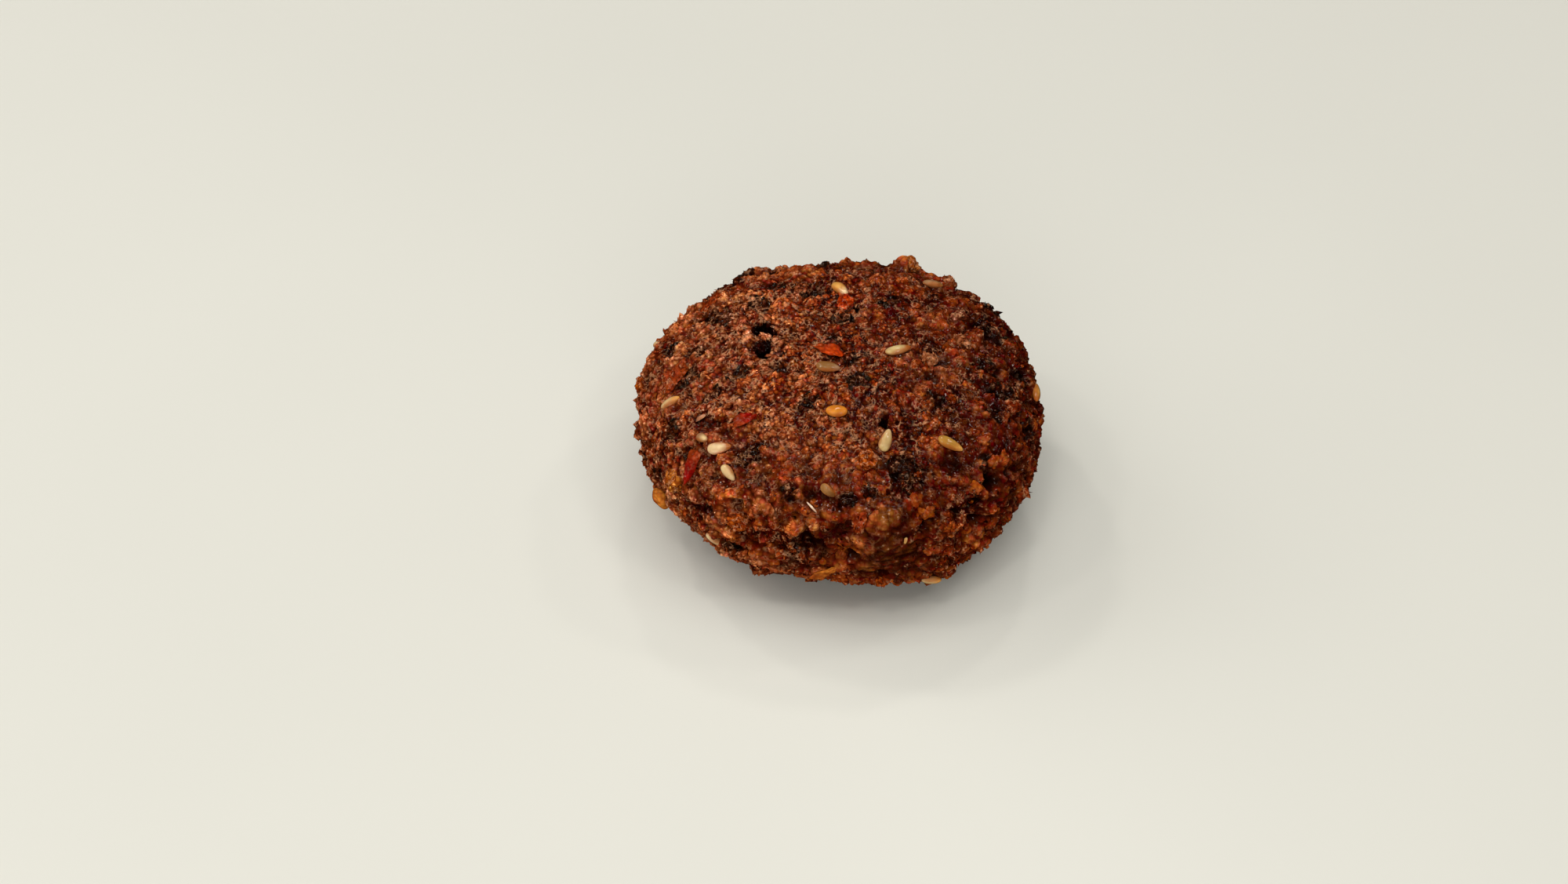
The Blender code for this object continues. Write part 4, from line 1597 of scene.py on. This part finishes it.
CRUST_LOOK = {
    "cell_size": 0.62 * MM, "gap_shade_value": (0.15, 1.25), "cell_value": (0.55, 1.3),
    "cell_bump": 0.4, "hue": (0.485, 0.515), "gloss_size": 0.9 * MM,
    "roughness": (0.06, 0.18), "bump_size": 0.2 * MM, "bump": 0.15, "bump_height": 0.05 * MM,
    "wet_gap_shade_value": (0.7, 1.1), "wet_cell_value": (0.85, 1.15), "wet_roughness": (0.06, 0.2),
    "facet_size": 0.42 * MM, "facet_tilt": 1.0, "wet_facet_tilt": 0.5,
    "rim_size": 0.7 * MM, "rim_width": 0.09, "rim_highlight_share": 0.62, "rim_bump": 0.5,
    "dot_highlight_share": 0.7, "shine": 0.3, "wet_shine": 0.42, "coat": 0.0,
    "depth": 0.0, "depth_radius": (1.0, 0.3, 0.1), "depth_scale": 0.6 * MM,
}
GRAIN_LOOK = dict(
    CRUST_LOOK, cell_size=0.54 * MM, cell_bump=0.3, hue=(0.49, 0.51), roughness=(0.06, 0.16),
    facet_size=0.4 * MM, facet_tilt=0.9,
)
HERB_LOOK = dict(GRAIN_LOOK, roughness=(0.05, 0.14), shine=0.8, rim_highlight_share=0.25, dot_highlight_share=0.6)
AMBER_LOOK = dict(
    GRAIN_LOOK, gap_shade_value=(0.5, 1.1), hue=(0.495, 0.502), depth=0.1, depth_scale=0.5 * MM,
)
FLAKE_LOOK = dict(
    AMBER_LOOK, cell_size=0.7 * MM, gap_shade_value=(0.7, 1.2), cell_value=(0.8, 1.2),
    facet_size=0.5 * MM, facet_tilt=0.35, wet_facet_tilt=0.3,
    rim_highlight_share=0.1, rim_bump=0.2, dot_highlight_share=0.1,
)
SEED_LOOK = dict(
    CRUST_LOOK, cell_size=0.9 * MM, gap_shade_value=(0.92, 1.05), cell_value=(0.92, 1.08),
    cell_bump=0.1, hue=(0.495, 0.505), roughness=(0.05, 0.14), bump_size=0.4 * MM, bump=0.3,
    shine=0.8, coat=0.7, depth=0.2, depth_radius=(1.0, 0.6, 0.25), depth_scale=0.5 * MM,
    facet_size=0.8 * MM, facet_tilt=0.06, wet_facet_tilt=0.06,
    rim_highlight_share=0.02, rim_bump=0.05, dot_highlight_share=0.02,
)

GRAIN_PAINTS = (
    ("brown_grain", GRAIN_LOOK), ("red_grain", GRAIN_LOOK), ("orange_grain", AMBER_LOOK),
    ("dark_grain", HERB_LOOK), ("fine_grain", GRAIN_LOOK),
)


# Studio

def build_floor():
    """A plain pale floor, barely uneven in tone."""
    mesh = bpy.data.meshes.new("floor")
    sheet = bmesh.new()
    bmesh.ops.create_grid(sheet, x_segments=1, y_segments=1, size=2.0)
    sheet.to_mesh(mesh)
    sheet.free()
    paint = new_paint("pale_floor")
    ramp = node(paint, "ValToRGB", {"Fac": noise_field(paint, FLOOR_CLOUD, 2.0)})
    stops = ((0.3, FLOOR_COLOUR * FLOOR_DIM), (0.7, FLOOR_COLOUR))
    for stop, (position, colour) in zip(ramp.color_ramp.elements, stops):
        stop.position = position
        stop.color = (*colour, 1.0)
    shader = paint.node_tree.nodes["Principled BSDF"]
    fill(paint, shader.inputs["Base Color"], ramp.outputs["Color"])
    fill(paint, shader.inputs["Roughness"], FLOOR_ROUGHNESS)
    fill(paint, shader.inputs["Specular IOR Level"], FLOOR_SHINE)
    mesh.materials.append(paint)
    floor = add_piece("floor", mesh)
    floor.visible_glossy = False


def add_lamp(name, bearing, lift, width, depth, power, colour, glints):
    """Rectangular lamp in a direction from the patty, seen in its gloss or not."""
    place = LAMP_AIM + direction_of(bearing, lift) * LAMP_DISTANCE
    lamp = bpy.data.lights.new(name, "AREA")
    lamp.shape = "RECTANGLE"
    lamp.size = width
    lamp.size_y = depth
    lamp.energy = power
    lamp.color = colour
    holder = add_piece(name, lamp)
    holder.location = place
    holder.rotation_euler = (LAMP_AIM - place).to_track_quat("-Z", "Y").to_euler()
    holder.visible_glossy = glints


def light_studio():
    """A broad soft ceiling, two dim panels, small bright lamps all round and a faint warm sky."""
    for name, bearing, lift, width, depth, power in SOFT_LAMPS:
        add_lamp(name, bearing, lift, width, depth, power, SOFT_COLOUR, False)
    for name, bearing, lift, power in GLINT_LAMPS:
        add_lamp(name, bearing, lift, GLINT_SIZE, GLINT_SIZE, power, GLINT_COLOUR, True)
    world = bpy.data.worlds.new("studio")
    world.use_nodes = True
    back = world.node_tree.nodes["Background"]
    back.inputs["Color"].default_value = SKY_COLOUR
    back.inputs["Strength"].default_value = SKY_POWER
    bpy.context.scene.world = world
    world.cycles_visibility.glossy = False


def place_camera():
    """Camera at the photo's angle."""
    lens = bpy.data.cameras.new("camera")
    lens.lens = CAMERA_LENS
    lens.sensor_width = 36.0
    lens.clip_start = 0.01
    camera = add_piece("camera", lens)
    lift = math.radians(CAMERA_LIFT)
    back = Vector((0.0, -math.cos(lift), math.sin(lift)))
    camera.location = CAMERA_TARGET + back * CAMERA_DISTANCE
    camera.rotation_euler = (math.pi / 2.0 - lift, 0.0, 0.0)
    bpy.context.scene.camera = camera


def main():
    seeds, flakes, crumbs = list_toppings()
    beds = Beds(seeds, flakes, crumbs)
    crust_paint = toned_paint("fried_crust_skin", CRUST_LOOK, oily=True)
    crust, sites = build_crust(beds, Patches(), crust_paint)
    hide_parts("falafel")
    clump_paint = toned_paint("crust_clump", GRAIN_LOOK, oily=True)
    clumps, clump_sites = lay_clumps(sites, beds, clump_paint)
    flake_piece, flake_sites = lay_flakes(flakes, toned_paint("pepper_skin", FLAKE_LOOK))
    crumb_piece, crumb_sites = lay_crumbs(crumbs, toned_paint("amber_crumb", AMBER_LOOK))
    open_sites = [site for site in sites if beds.apart(site[0]) > GRAIN_CLEAR]
    grain_sites = open_sites + clump_sites + flake_sites + crumb_sites
    grain_paints = [toned_paint(name, look) for name, look in GRAIN_PAINTS]
    pieces = [crust, clumps] + lay_grains(grain_sites, grain_paints)
    pieces += [flake_piece, crumb_piece]
    pieces.append(lay_flecks(sites, beds, toned_paint("herb_leaf", HERB_LOOK)))
    pieces.append(lay_seeds(seeds, toned_paint("sesame", SEED_LOOK)))
    pieces.append(lay_husks(toned_paint("pale_husk", SEED_LOOK)))
    pieces.append(lay_skin(toned_paint("amber_skin", FLAKE_LOOK)))
    for piece in pieces:
        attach(piece, "root")
    build_floor()
    light_studio()
    place_camera()
    bpy.context.scene.view_settings.view_transform = "Standard"


main()
